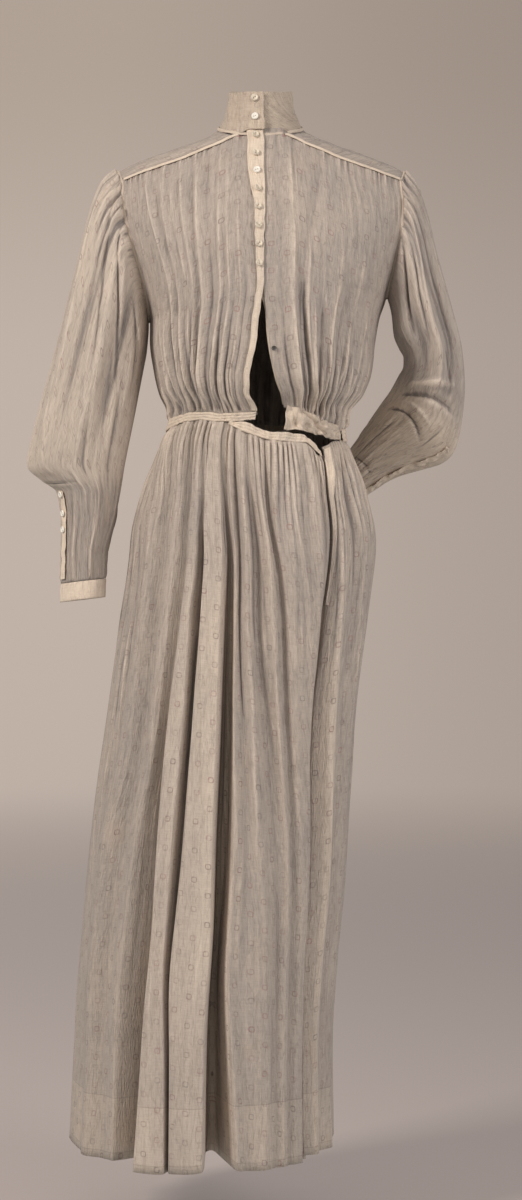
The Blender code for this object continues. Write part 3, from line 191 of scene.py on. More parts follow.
# Creases of the sleeves: start, middle and end as turn in degrees and share of the length,
# then height and half width in mm
SLEEVE_CREASES = {
    "right": (
        (60, 0.10, 78, 0.25, 92, 0.46, -4.5, 4.0),
        (70, 0.03, 104, 0.24, 128, 0.44, -5.0, 3.2),
        (126, 0.14, 145, 0.26, 150, 0.42, -5.5, 5.0),
        (88, 0.04, 112, 0.20, 118, 0.42, 3.0, 4.0),
        (30, 0.05, 36, 0.20, 34, 0.38, 2.4, 2.6),
        (48, 0.03, 62, 0.10, 60, 0.24, -3.0, 2.4),
        (38, 0.02, 46, 0.08, 44, 0.16, 2.4, 2.2),
        (12, 0.71, 38, 0.725, 84, 0.705, -3.5, 4.0),
        (96, 0.46, 100, 0.58, 106, 0.72, -2.2, 3.5),
        (132, 0.42, 136, 0.56, 134, 0.74, -2.6, 4.0),
        (40, 0.48, 50, 0.60, 60, 0.69, 2.2, 4.0),
        (86, 0.76, 80, 0.86, 84, 0.97, 1.4, 2.0),
        (112, 0.74, 108, 0.86, 104, 0.98, -1.4, 2.0),
    ),
    "left": (
        (70, 0.03, 70, 0.17, 92, 0.35, 4.6, 3.2),
        (84, 0.05, 88, 0.20, 106, 0.38, -5.0, 3.8),
        (92, 0.04, 120, 0.16, 130, 0.32, -7.0, 4.4),
        (52, 0.03, 58, 0.20, 60, 0.40, -3.4, 3.2),
        (140, 0.570, 100, 0.490, 52, 0.470, 6.0, 8.0),
        (138, 0.605, 100, 0.520, 44, 0.545, -9.0, 5.5),
        (144, 0.690, 112, 0.615, 78, 0.695, -8.0, 4.6),
        (138, 0.645, 110, 0.585, 80, 0.630, 5.0, 4.5),
        (60, 0.58, 70, 0.66, 66, 0.74, -3.0, 3.4),
        (139, 0.890, 103, 0.870, 66, 0.900, -3.4, 3.0),
        (120, 0.70, 126, 0.78, 130, 0.86, -2.4, 2.6),
        (98, 0.70, 104, 0.80, 108, 0.88, 2.2, 2.6),
        (150, 0.30, 146, 0.40, 138, 0.50, -3.0, 4.0),
        (76, 0.38, 70, 0.44, 62, 0.50, -2.6, 3.2),
    ),
}
# Size of a sleeve's cloth on which its creases are drawn
SLEEVE_AROUND = 0.42
SLEEVE_LENGTH = 0.60

# How much lighter a ridge or a gap of the skirt is painted: painted highlight on its ridges, and painted
# light against the shade of its deep gaps
FOLD_PAINTED_LIGHT = {
    "panel lip": 0.25, "panel face": 0.45, "second lip": 0.35, "second face": 0.60, "third lip": 0.15,
    "fourth ridge": 0.15, "fifth ridge": 0.15, "flat ridge": 0.10, "opening ridge": 0.55, "left ridge": 0.05,
}
GAP_PAINTED_LIGHT = {"deep trough right": 0.9, "deep trough left": 0.9, "panel trough": 0.3}
# Words in the names of the folds on which the print keeps its true size
RIDGE_WORDS = ("ridge", "face", "third lip")

# Sizes of hem, gathers, cords, puffs and narrow strips, in metres
HEM_DEPTH = 0.080
GATHER_PITCH = 0.0078
GATHER_HEIGHT = 0.0029
SKIRT_STRIP_END = 0.22
CORD_HEIGHT = 0.0013
YOKE_PUFF = 0.0080
DRAPE_HEIGHT = 0.0024
DRAPE_REACH = 0.17
FOLD_DEPTH = 0.008
CUFF_CROWN = 0.0006
STITCH_DEPTH = 0.0005
# How far the top edge of a front strip moves under the collar
STRIP_TOP_MOVE = (0, 0.0015, 0.0060)
# A place inside the shoulders, from which the yoke faces away
YOKE_INSIDE = (0, 0, -0.2)
# How much lighter the hem shows, and how strongly the sleeves' strips are crushed
HEM_LAYER = 0.16
SLEEVE_STRIP_CRUSH = {"right": 1.0, "left": 3.0}
# Reach of the skirt's gathers in metres, and how it varies: share, size of the waves, step of the seed
GATHER_REACH = 0.115
GATHER_REACHES = ((0.65, 0.009, 0), (0.35, 0.04, 1))
# How much painted light lightens the sleeves: share above, what is added below, and where that begins and
# ends
SLEEVE_PAINTED_LIGHT = {"right": (0.45, -0.40, 0.66, 0.76), "left": (0.0, 0.95, 0.50, 0.64)}

# Buttons: profile from the face's centre to the underside, as share of the radius and height
BUTTON_PROFILE = ((0.02, 0.0005), (0.50, 0.0005), (0.62, 0.0007), (0.74, 0.0011), (0.86, 0.0013),
                  (0.95, 0.0010), (1.00, 0.0002), (0.95, -0.0006), (0.80, -0.0009), (0.02, -0.0009))
BUTTON_SEGMENTS = 40
BUTTON_HOLE = 0.00090
BUTTON_HOLE_PLACE = 0.0012
BUTTON_LIFT = 0.0020
HOLE_SEGMENTS = 12
DRILL_LENGTH = 0.02
THREAD_SEGMENTS = (10, 8)
THREAD_SIZE = (BUTTON_HOLE_PLACE * 1.25, 0.00042, 0.00042)
SHARP_ANGLE = math.radians(40)
# Tilt and spin of each front button in degrees, and the tilt up to which it keeps the bright pearl; more
# tilted buttons get the darker pearl as painted shade
BUTTON_TILTS = ((-12, 20), (3, 5), (-24, 60), (-8, 80), (3, 12),
                (-26, 110), (-14, 60), (-22, 130), (-12, 40), (-18, 90))
BRIGHT_TILT = 5
# Share of its sunk edge by which a tilted button is lifted
TILT_LIFT = 0.6
# Tilt and spin of the small buttons in radians
SMALL_TILT = 0.1
INNER_SPIN = 0.4
SLEEVE_SPIN = 0.5
# Small steps to either side of a button's place, for the direction of the cloth there
BESIDE = 0.003
BESIDE_STRIP = ((0.3, 0.5, 0.7), 0.01)

# Patches of noise on the cloth: width and length in metres, detail, offset
PATCHES = {
    "fine": (0.0017, 0.013, 3.0, 0.0),
    "crest lines": (0.0070, 0.055, 3.0, 3.0),
    "groove lines": (0.0085, 0.060, 3.0, 17.0),
    "broad": (0.05, 0.16, 3.0, 11.0),
    "slub": (0.014, 0.0011, 2.0, 5.0),
    "crinkles": (0.0058, 0.048, 4.0, 31.0),
    "stains": (0.09, 0.12, 4.0, 23.0),
    "wear": (0.004, 0.005, 2.0, 7.0),
}
# How the shading answers to a value: from, to, result at from, result at to
ANSWERS = {
    "crest": (-0.12, -0.95, 0.0, 0.70),
    "hollow": (0.10, 0.95, 0.0, 1.0),
    "near hem": (0.10, 0.60, 0.35, 1.0),
    "turned hem": (HEM_DEPTH - 0.0006, HEM_DEPTH + 0.0006, HEM_LAYER, 0.0),
    "rolled hem": (0.004, 0.009, HEM_LAYER, 0.0),
    # Raised and sunk crinkles take painted highlight and painted shade
    "raised": (0.52, 0.74, 0.0, 0.42),
    "sunk": (0.46, 0.26, 0.0, 0.50),
    "crest lines": (0.0, 0.030, 1.0, 0.0),
    "groove lines": (0.0, 0.032, 1.0, 0.0),
    "speckle": (0.36, 0.62, 0.0, 1.0),
    "broad": (0.3, 0.7, 0.0, 1.0),
    "stains": (0.60, 0.74, 0.0, 0.30),
    "slub": (0.3, 0.7, 0.82, 0.95),
    "wear": (0.30, 0.62, 0.35, 1.0),
    "mottle": (0.35, 0.65, 0.0, 1.0),
    "print ring": (PRINT_LINE * 0.35, PRINT_LINE, 1.0, 0.0),
}
# Shares in the colour of the crest lines (painted highlight), the groove lines (painted shade), speckle and
# stitches, and rows of stitches: height over the hem, half width
CREST_LINE_SHARE = 0.22
GROOVE_LINE_SHARE = 0.38
SPECKLE_SHARE = 0.48
STITCH_SHARE = 0.55
HEM_STITCHES = ((HEM_DEPTH, 0.0009), (0.0095, 0.0007))
# How square the rings of the print are, and how their strength varies: range and least
PRINT_SQUARENESS = 1.12
PRINT_STRENGTH = (0.55, 0.45)
# Strength of the relief of pearl and thread
PLAIN_BUMP = 0.5
# Shares of each part in the relief, and the relief's depth
RELIEF = {"fine": 0.70, "slub": 0.05, "threads": 0.03,
          "crest lines": 0.16, "groove lines": 0.18, "crinkles": 1.5}
RELIEF_DEPTH = 0.0018
CLOTH_GLOSS = {"Specular IOR Level": 0.25, "Sheen Weight": 0.12, "Sheen Roughness": 0.5}

# Where effects begin and end: shares of a piece's length or width, or metres from its edge
FADES = {
    "folds tighten": (0.40, 1.0),
    "gathers begin": (0, 0.005),
    "ribbon ends": (0, 0.02),
    "below seam": (0.03, 0.2),
    "folds grow": (0.50, 0.85),
    "hollows deepen": (0.68, 0.88),
    "under collar": (0.10, 0.20),
    "front edge": (0.05, 0.12),
    "front side": (0.955, 1.0),
    "front print": (0.07, 0.02),
    "back print": (0.09, 0.03),
    "yoke edges": (0, 0.004),
    "yoke crinkles": (0.1, 0.4),
    "puff begins": (0.0, 0.09),
    "puff ends": (0.25, 0.50),
    "collar top": (0, 0.004),
    "collar base": (0.94, 1.0),
    "collar end": (0, 0.010),
    "skirt gathers": (0, 0.006),
    "drape": (0.0, 0.05),
    "soft folds end": (0.40, 0.75),
    "soft folds": (0.0, 0.09),
    "room": (0.004, 0.012),
    "panel ends": (0, 0.35),
    "hem": (0.85, 1.0),
    "painted light ends": (0.60, 0.85),
    "painted light begins": (0.10, 0.25),
    "skirt print": (0.10, 0.03),
    "elbow": (0.62, 0.8),
    "forearm": (0.60, 0.72),
    "sleeve top": (0, 0.012),
    "sleeve end": (0.985, 1.0),
    "cuff edges": (0, 0.04),
    "strip narrows": (0.035, 0.075),
    "side edges": (0, 0.03),
    "below yoke": (0.01, 0.08),
    "above band": (0, 0.05),
}
# Gathers: pitch, height and reach in metres
GATHERS = {
    "front at yoke": (0.0052, 0.0010, 0.018),
    "right front at waist": (0.0066, 0.0026, 0.040),
    "left front at waist": (0.0066, 0.0034, 0.040),
    "back at yoke": (0.0056, 0.0012, 0.035),
    "back at waist": (0.0084, 0.0032, 0.058),
    "sleeve head": (0.0085, 0.0026, 0.060),
}
# Fine creases: spacing, shortest and longest, height and half width in metres
CREASES = {
    "front": (0.020, (0.04, 0.15), 0.0010, 0.0024),
    "back": (0.017, (0.05, 0.16), 0.0014, 0.0026),
    "skirt": (0.014, (0.08, 0.36), 0.0022, 0.0030),
    "sleeve": (0.017, (0.06, 0.22), 0.0012, 0.0026),
    "right forearm": (0.012, (0.04, 0.14), 0.0026, 0.0026),
    "left forearm": (0.012, (0.04, 0.14), 0.0020, 0.0026),
}
# Soft unevenness: height in metres or as a share, size of its waves across and down, step of the seed
RIPPLES = {
    "front": ((0.0014, 0.040, 0.20, 81),),
    "back": ((0.0018, 0.040, 0.22, 81),),
    "yoke": ((0.0010, 0.0052, 0.020, 0), (0.0011, 0.012, 0.03, 1), (0.0006, 0.003, 0.009, 2)),
    "collar": ((0.0006, 0.016, 0.009, 0), (0.0003, 0.006, 0.004, 1)),
    "collar end": ((0.0011, 0.008, math.inf, 3),),
    "collar top": ((0.0006, 0.02, 1, 4),),
    "front strip": ((0.0004, 0.006, 0.008, 0), (0.0005, 0.02, 0.018, 1)),
    "front strip sway": ((0.0008, 0.012, math.inf, 2),),
    "band": ((0.0009, 0.0048, 0.02, 0),),
    "band crush": ((0.0014, 0.0075, 0.010, 1),),
    "band sway": ((0.0008, 0.016, math.inf, 2), (0.0005, 0.005, 0.01, 3)),
    "skirt": ((0.0014, 0.045, 0.50, 12),),
    "gather height": ((0.55, 0.011, 0.12, 2), (0.45, 0.030, 0.25, 5)),
    "gather phase": ((0.85, 0.023, 0.11, 3),),
    "drape phase": ((0.9, 0.05, 0.2, 6),),
    "hem": ((0.0030, 0.09, math.inf, 20),),
    "sleeve": ((0.0016, 0.030, 0.20, 31),),
    "cuff": ((0.0004, 0.006, 0.009, 0),),
    "sleeve strip": ((0.0005, 0.005, 0.006, 0), (0.0004, 0.012, 0.010, 1)),
    "sleeve strip sway": ((0.0006, 0.009, math.inf, 2),),
    "skirt strip": ((0.0006, 0.005, 0.012, 0),),
    "ribbon width": ((0.12, 0.011, 1, 0),),
    "ribbon": ((0.0003, 0.004, 1, 1),),
    "ribbon sway": ((0.0004, 0.015, 1, 2),),
}
# Fine creases: spread of their slant and bow, chance of a ridge, height of a groove as share of a ridge
CREASE_SLANT = 0.035
CREASE_BOW = 0.003
RIDGE_CHANCE = 0.62
GROOVE_HEIGHT = -0.8
# Shares of wide and of narrow troughs in the painted shade and highlight, and of deep ones in the skirt
HOLLOW_MIX = (0.75, 0.45)
SLEEVE_HOLLOWS = (0.5, 0.35)
SKIRT_HOLLOW = 0.38
# How strongly the yoke crinkles at its ends and towards its middle, and the share and shift of its painted
# shade
YOKE_CRINKLES = (0.70, 0.30)
YOKE_PAINTED_SHADE = (0.6, 0.25)
# Skirt under its band: how much its painted light and painted shade strengthen there, and over what reach in
# metres
BAND_PAINTED_LIGHT = (0.40, 0.08)
BAND_PAINTED_SHADE = (0.5, 0.10)
# Skirt's gathers: their greatest height as share of their pitch, and gathers to a wave of the drape
GATHER_STEEP = 0.40
DRAPE_PITCH = 2.9
# Part of a sleeve's head that is gathered: shift and range of the cosine round it
HEAD_GATHERED = (0.35, 0.6)
# Crown of a cuff: half width as share of its height, and how square it is
CUFF_SHAPE = (0.42, 6)
# Stitches of a front strip: place and width as shares of the strip's width
STITCH_PLACE = (0.16, 0.07)
# Strip of the skirt's opening: how much narrower and less doubled it gets, and its cloth's width in metres
STRIP_NARROWER = 0.48
STRIP_THINNER = 0.6
SKIRT_STRIP_CLOTH = 0.012
# Fronts: how the drawn folds tighten, grow and deepen downwards, and how their ridges show in painted
# highlight, along the left front's broad ridge too, and their hollows in painted shade
FOLD_TIGHTER = 0.9
FOLD_SHARES = (0.9, 0.7)
TROUGH_SHARE = 1.35
RIDGE_PAINTED_HIGHLIGHT = 0.35
RIDGE_HEIGHT = 0.005
LEFT_RIDGE_HIGHLIGHT = (0.17, 0.0055)
HOLLOW_SHARES = (0.9, 0.8)
# How far back and up the corner of a front goes under the collar
UNDER_COLLAR_MOVE = (0.0030, 0.0100)
# Seam strips: points along each, how far it lies out, width, crown, seed, share doubled, cut length
SEAM_STRIPS = {
    "yoke_piping": (120, 0.0, 0.0042, 0.0004, 1000, 1.0, 0.17),
    "armhole_seam": (240, 0.0003, 0.0040, 0.0003, 1010, 0.4, 0.46),
    "collar_seam": (240, 0.0017, 0.0042, 0.0006, 1020, 0.6, 0.37),
    "yoke_piping_back": (200, 0.0012, 0.0045, 0.0007, 1030, 1.0, 0.39),
}
YOKE_PIPING_FACE = (0, -0.80, 0.60)
YOKE_PIPING_SHIFT = (-0.0014, 0.0012)
YOKE_PIPING_SPAN = (0.030, 0.1795)
COLLAR_SEAM_DROP = 0.0012
COLLAR_SEAM_SPAN = (-3, -357)

# Every cloth: finish, the solid that it stands for, seed of its unevenness, width and length of its cut
# before it was gathered and shown area, in metres, and how it is held
PIECES = {
    "bodice_front_right_cloth": ("voile", "bodice_front_right", 100, 0.24, 0.40, 0.085, "gathered"),
    "bodice_front_left_cloth": ("voile", "bodice_front_left", 200, 0.25, 0.40, 0.086, "gathered"),
    "bodice_back_cloth": ("voile", "bodice_back", 300, 0.43, 0.36, 0.145, "gathered"),
    "yoke_cloth": ("voile", "yoke", 400, 0.40, 0.20, 0.052, "draped"),
    "collar_cloth": ("doubled_cloth", "collar", 500, 0.385, 0.058, 0.018, "folded"),
    "front_strip_right_cloth": ("doubled_cloth", "placket_right", 520, 0.023, 0.395, 0.0055, "folded"),
    "front_strip_left_cloth": ("doubled_cloth", "placket_left", 530, 0.014, 0.385, 0.0044, "folded"),
    "waistband_cloth": ("doubled_cloth", "waistband", 540, 0.56, 0.018, 0.0085, "gathered"),
    "left_band_cloth": ("doubled_cloth", "waistband_front_left", 550, 0.110, 0.031, 0.0027, "folded"),
    "skirt_band_cloth": ("doubled_cloth", "skirt_band", 560, 0.155, 0.014, 0.0016, "gathered"),
    "skirt_front_cloth": ("voile", "skirt_front", 600, 0.72, 0.945, 0.600, "gathered"),
    "skirt_back_cloth": ("voile", "skirt_back", 600, 1.02, 0.945, 0.850, "gathered"),
    "skirt_strip_cloth": ("doubled_cloth", "skirt_placket", 980, 0.014, 0.21, 0.0016, "folded"),
    "sleeve_right_cloth": ("voile", "sleeve_right", 700, 0.50, 0.60, 0.195, "gathered"),
    "sleeve_left_cloth": ("voile", "sleeve_left", 800, 0.48, 0.60, 0.170, "gathered"),
    "cuff_right_cloth": ("doubled_cloth", "cuff_right", 900, 0.195, 0.025, 0.0048, "folded"),
    "cuff_left_cloth": ("doubled_cloth", "cuff_left", 920, 0.180, 0.025, 0.0044, "folded"),
    "sleeve_strip_right_cloth": ("doubled_cloth", "sleeve_placket_right", 940, 0.011, 0.12, 0.0013, "folded"),
    "sleeve_strip_left_cloth": ("doubled_cloth", "sleeve_placket_left", 960, 0.011, 0.18, 0.0019, "folded"),
}

# Studio
FLOOR = -1.42
STAGE_FLAT = 7.5
STAGE_CURVE = 3.5
STAGE_HEIGHT = 6.0
# Painted light and shade on the paper: lighter to the left, darker to the right, on the floor towards the
# middle and high up, and a painted glow
STAGE_LEFT = (0.815, 0.705, 0.63, 1)
STAGE_RIGHT = (0.625, 0.54, 0.485, 1)
STAGE_LOW = (0.60, 0.605, 0.645, 1)
STAGE_HIGH = (0.83, 0.81, 0.79, 1)
STAGE_PAINTED_GLOW = 0.26
STAGE_GLOSS = {"Roughness": 0.9, "Specular IOR Level": 0.1}
STAGE_STEPS = 12
STAGE_TURNS = 96
# Where the paper's painted light and shade change: x, square of the distance from the middle, height
STAGE_SIDES = (-1.2, 1.8)
STAGE_LOW_REACH = (60.0, 2.0)
STAGE_HIGH_RANGE = (0.6, 2.8)
# Camera: distance, height of the view and its centre in metres, width of the sensor in millimetres
CAMERA_DISTANCE = 3.1
SENSOR_WIDTH = 36
VIEW_HEIGHT = 1.572
VIEW_CENTRE = (-0.0013, -0.5895)
# Light from all around
WORLD_COLOUR = (1.0, 0.95, 0.90, 1)
WORLD_STRENGTH = 0.34
# Lamps: name, place, point aimed at, width and height in metres, watts, colour
LAMPS = (
    ("key", (-2.6, -2.2, 1.2), (0.0, 0.0, -0.5), (0.9, 1.3), 96, (1.0, 0.93, 0.86)),
    ("fill", (2.2, -2.2, 0.3), (0.0, 0.0, -0.6), (1.6, 2.0), 40, (1.0, 0.95, 0.92)),
    ("low", (1.3, -1.3, -0.8), (0.2, 0.0, -0.35), (0.5, 0.5), 3.0, (1.0, 0.95, 0.92)),
)

# Driving sizes
WALL = 0.0016
SEAM_GAP = 0.0004
BAND_GAP = 0.0009
SIDE_SEAM_GAP = 0.0012
HEM_HEIGHT = -1.302
COLLAR_TOP_FRONT = 0.066
COLLAR_TOP_BACK = 0.086
STRIP_REACH = 0.0026
SIDES = {"right": -1, "left": 1}

# Buttons
BUTTON_RADIUS = 0.0048
SLEEVE_BUTTON_RADIUS = 0.0042
INNER_BUTTON_RADIUS = 0.0030
BUTTON_PITCH = 0.0249
COLLAR_BUTTONS = 2
FIRST_BUTTON_HEIGHT = 0.0575
FIRST_BUTTON_X = -0.0090
BUTTON_DRIFT = 0.0006
INNER_BUTTON = (0.015, -0.273)

# Neck and stand collar
NECK_CENTRE_X = -0.002
NECK_HALF_WIDTH = 0.0540
NECK_FRONT_HEIGHT = 0.010
NECK_BACK_RISE = 0.033
NECK_SIDE_RISE = 0.0025
NECK_CENTRE_Y = 0.001
NECK_HALF_DEPTH = 0.0480
NECK_FLARE = 0.0085
NECK_BACK_SHIFT = 0.004
COLLAR_TAPER = 0.0125
COLLAR_LAP = 0.0050
COLLAR_START = 5.5
COLLAR_TURN = 376
COLLAR_END_RISE = 0.0055
COLLAR_END_LENGTH = (0.056, 0.084)
STRIP_TOP_RISE = 0.0050

# Front and back profile of the bodice: height, front y, back y
BODICE_PROFILE = (
    (0.040, -0.047, 0.052),
    (0.012, -0.056, 0.058),
    (-0.030, -0.076, 0.076),
    (-0.080, -0.099, 0.097),
    (-0.140, -0.120, 0.108),
    (-0.200, -0.131, 0.109),
    (-0.260, -0.130, 0.103),
    (-0.310, -0.121, 0.095),
    (-0.335, -0.108, 0.087),
    (-0.352, -0.095, 0.080),
    (-0.390, -0.095, 0.080),
)

# Outer edge of the bodice, armhole and then side seam: height, |x|, front y, back y, reach of the arc
SIDE_RIGHT = (
    (0.000, 0.180, -0.028, 0.026, 52),
    (-0.045, 0.180, -0.030, 0.030, 52),
    (-0.084, 0.177, -0.042, 0.046, 56),
    (-0.135, 0.165, -0.050, 0.054, 62),
    (-0.181, 0.152, -0.042, 0.045, 72),
    (-0.208, 0.147, -0.026, 0.027, 82),
    (-0.220, 0.146, -0.013, 0.013, 86),
    (-0.226, 0.146, 0.000, 0.000, 90),
    (-0.250, 0.146, 0.000, 0.000, 90),
    (-0.291, 0.140, 0.000, 0.000, 90),
    (-0.320, 0.132, 0.000, 0.000, 90),
    (-0.345, 0.121, 0.000, 0.000, 90),
    (-0.390, 0.124, 0.000, 0.000, 90),
)
SIDE_LEFT = (
    (0.000, 0.178, -0.028, 0.026, 52),
    (-0.045, 0.178, -0.030, 0.030, 52),
    (-0.078, 0.181, -0.042, 0.046, 56),
    (-0.115, 0.178, -0.050, 0.054, 62),
    (-0.152, 0.171, -0.042, 0.045, 72),
    (-0.178, 0.165, -0.026, 0.027, 82),
    (-0.189, 0.163, -0.013, 0.013, 86),
    (-0.195, 0.162, 0.000, 0.000, 90),
    (-0.222, 0.153, 0.000, 0.000, 90),
    (-0.250, 0.148, 0.000, 0.000, 90),
    (-0.291, 0.142, 0.000, 0.000, 90),
    (-0.320, 0.131, 0.000, 0.000, 90),
    (-0.345, 0.112, 0.000, 0.000, 90),
    (-0.390, 0.105, 0.000, 0.000, 90),
)
SIDE_EDGES = {-1: SIDE_RIGHT, 1: SIDE_LEFT}
TOP_REACH = 52
TOP_FIT_LENGTH = 0.09
WAIST_FIT_LENGTH = 0.05
BACK_HALF_WIDTH = 0.179

# Front edges of the bodice at the button strip and the open gap: height, right x, left x
FRONT_EDGES = (
    (0.030, 0.0004, 0.0016),
    (-0.190, 0.0004, 0.0018),
    (-0.234, -0.0045, 0.0060),
    (-0.273, -0.0100, 0.0100),
    (-0.312, -0.0175, 0.0190),
    (-0.328, -0.0170, 0.0250),
    (-0.352, -0.0060, 0.0290),
)

# Upper edge of the bodice fronts, neck seam and then yoke seam: |x|, y, height
FRONT_TOP = (
    (0.000, -0.0578, 0.0075),
    (0.015, -0.0552, 0.0082),
    (0.028, -0.0480, 0.0104),
    (0.040, -0.0472, 0.0070),
    (0.057, -0.0485, -0.0015),
    (0.080, -0.0495, -0.0110),
    (0.101, -0.0485, -0.0200),
    (0.146, -0.0410, -0.0340),
    (0.180, -0.0300, -0.0450),
)

# Seam between yoke and back: |x|, height
BACK_YOKE_SEAM = (
    (0.000, -0.052),
    (0.090, -0.052),
    (0.150, -0.054),
    (0.180, -0.057),
)

# Yoke: where its front seam meets the neck, share of its outer edge over the shoulder,
# its fit to the front seam and its slope from neck to outer edge
YOKE_NECK_X = 0.031
SHOULDER_SHARE = 0.32
YOKE_SET_BACK = 0.0010
YOKE_SET_UP = 0.0019
ARMHOLE_BACK_Y = 0.031
ARMHOLE_BULGE = (0.0070, 0.0215)
YOKE_SLOPE = ((0, 0.16, 0.32, 1), (0.80, 0.72, 0.78, 0.95))

# Right button strip: height, inner x, outer x
PLACKET_RIGHT = (
    (0.014, -0.0190, 0.0025),
    (-0.020, -0.0185, 0.0035),
    (-0.060, -0.0150, 0.0040),
    (-0.085, -0.0105, 0.0035),
    (-0.130, -0.0085, 0.0030),
    (-0.190, -0.0065, 0.0022),
    (-0.234, -0.0120, -0.0035),
    (-0.273, -0.0165, -0.0085),
    (-0.312, -0.0240, -0.0165),
    (-0.328, -0.0235, -0.0165),
    (-0.346, -0.0140, -0.0060),
)

# Left button strip: height, inset of its inner edge from the front's edge, width,
# how far it lies behind the front
PLACKET_LEFT = (
    (0.014, 0.0111, 0.0120, 0.0026),
    (-0.170, 0.0111, 0.0120, 0.0026),
    (-0.230, 0.0016, 0.0080, 0.0026),
    (-0.346, 0.0016, 0.0080, 0.0036),
)

# Band from the right front end round the back to the left side: angle, upper edge, lower edge
WAISTBAND = (
    (-288, -0.3685, -0.3850),
    (-270, -0.3665, -0.3825),
    (-235, -0.3600, -0.3740),
    (-180, -0.3520, -0.3650),
    (-90, -0.3555, -0.3690),
    (-40, -0.3485, -0.3590),
    (-20, -0.3515, -0.3625),
    (-0.5, -0.3505, -0.3615),
)
# Free end of the bodice's band at the left front
BAND_FRONT_LEFT = (
    (18.5, -0.3420, -0.3720),
    (32, -0.3480, -0.3745),
    (48, -0.3580, -0.3790),
    (69, -0.3680, -0.3845),
)
# Free end of the skirt's band
SKIRT_BAND = (
    (-17, -0.3628, -0.3660),
    (-10, -0.3632, -0.3730),
    (-4, -0.3648, -0.3778),
    (0, -0.3690, -0.3800),
    (10, -0.3755, -0.3865),
    (22, -0.3775, -0.3890),
    (32, -0.3790, -0.3895),
    (37, -0.3880, -0.3955),
    (42, -0.3990, -0.4070),
)
BAND_REACH = 0.0010
LEFT_BAND_GAP = 0.0015
LEFT_WAIST_RISE = 0.009
LEFT_WAIST_RANGE = (-0.342, -0.270)

# Rings of the skirt's general form: height, centre x, centre y, half width, front depth, back depth
SKIRT_FORM = (
    (-0.340, -0.005, 0.000, 0.113, 0.094, 0.079),
    (-0.365, -0.008, 0.000, 0.115, 0.096, 0.084),
    (-0.393, -0.011, 0.000, 0.124, 0.101, 0.105),
    (-0.443, -0.011, 0.000, 0.145, 0.112, 0.135),
    (-0.511, -0.012, 0.000, 0.160, 0.122, 0.158),
    (-0.616, -0.024, 0.005, 0.162, 0.130, 0.170),
    (-0.720, -0.038, 0.012, 0.163, 0.138, 0.175),
    (-0.850, -0.052, 0.022, 0.168, 0.150, 0.182),
    (-0.980, -0.063, 0.030, 0.171, 0.163, 0.190),
    (-1.140, -0.076, 0.040, 0.171, 0.180, 0.198),
    (-1.305, -0.080, 0.048, 0.176, 0.200, 0.206),
)

# Heights at which the folds of the skirt are given
FOLD_HEIGHTS = (-0.375, -0.462, -0.615, -0.780, -0.905, -1.040, -1.155, -1.302)

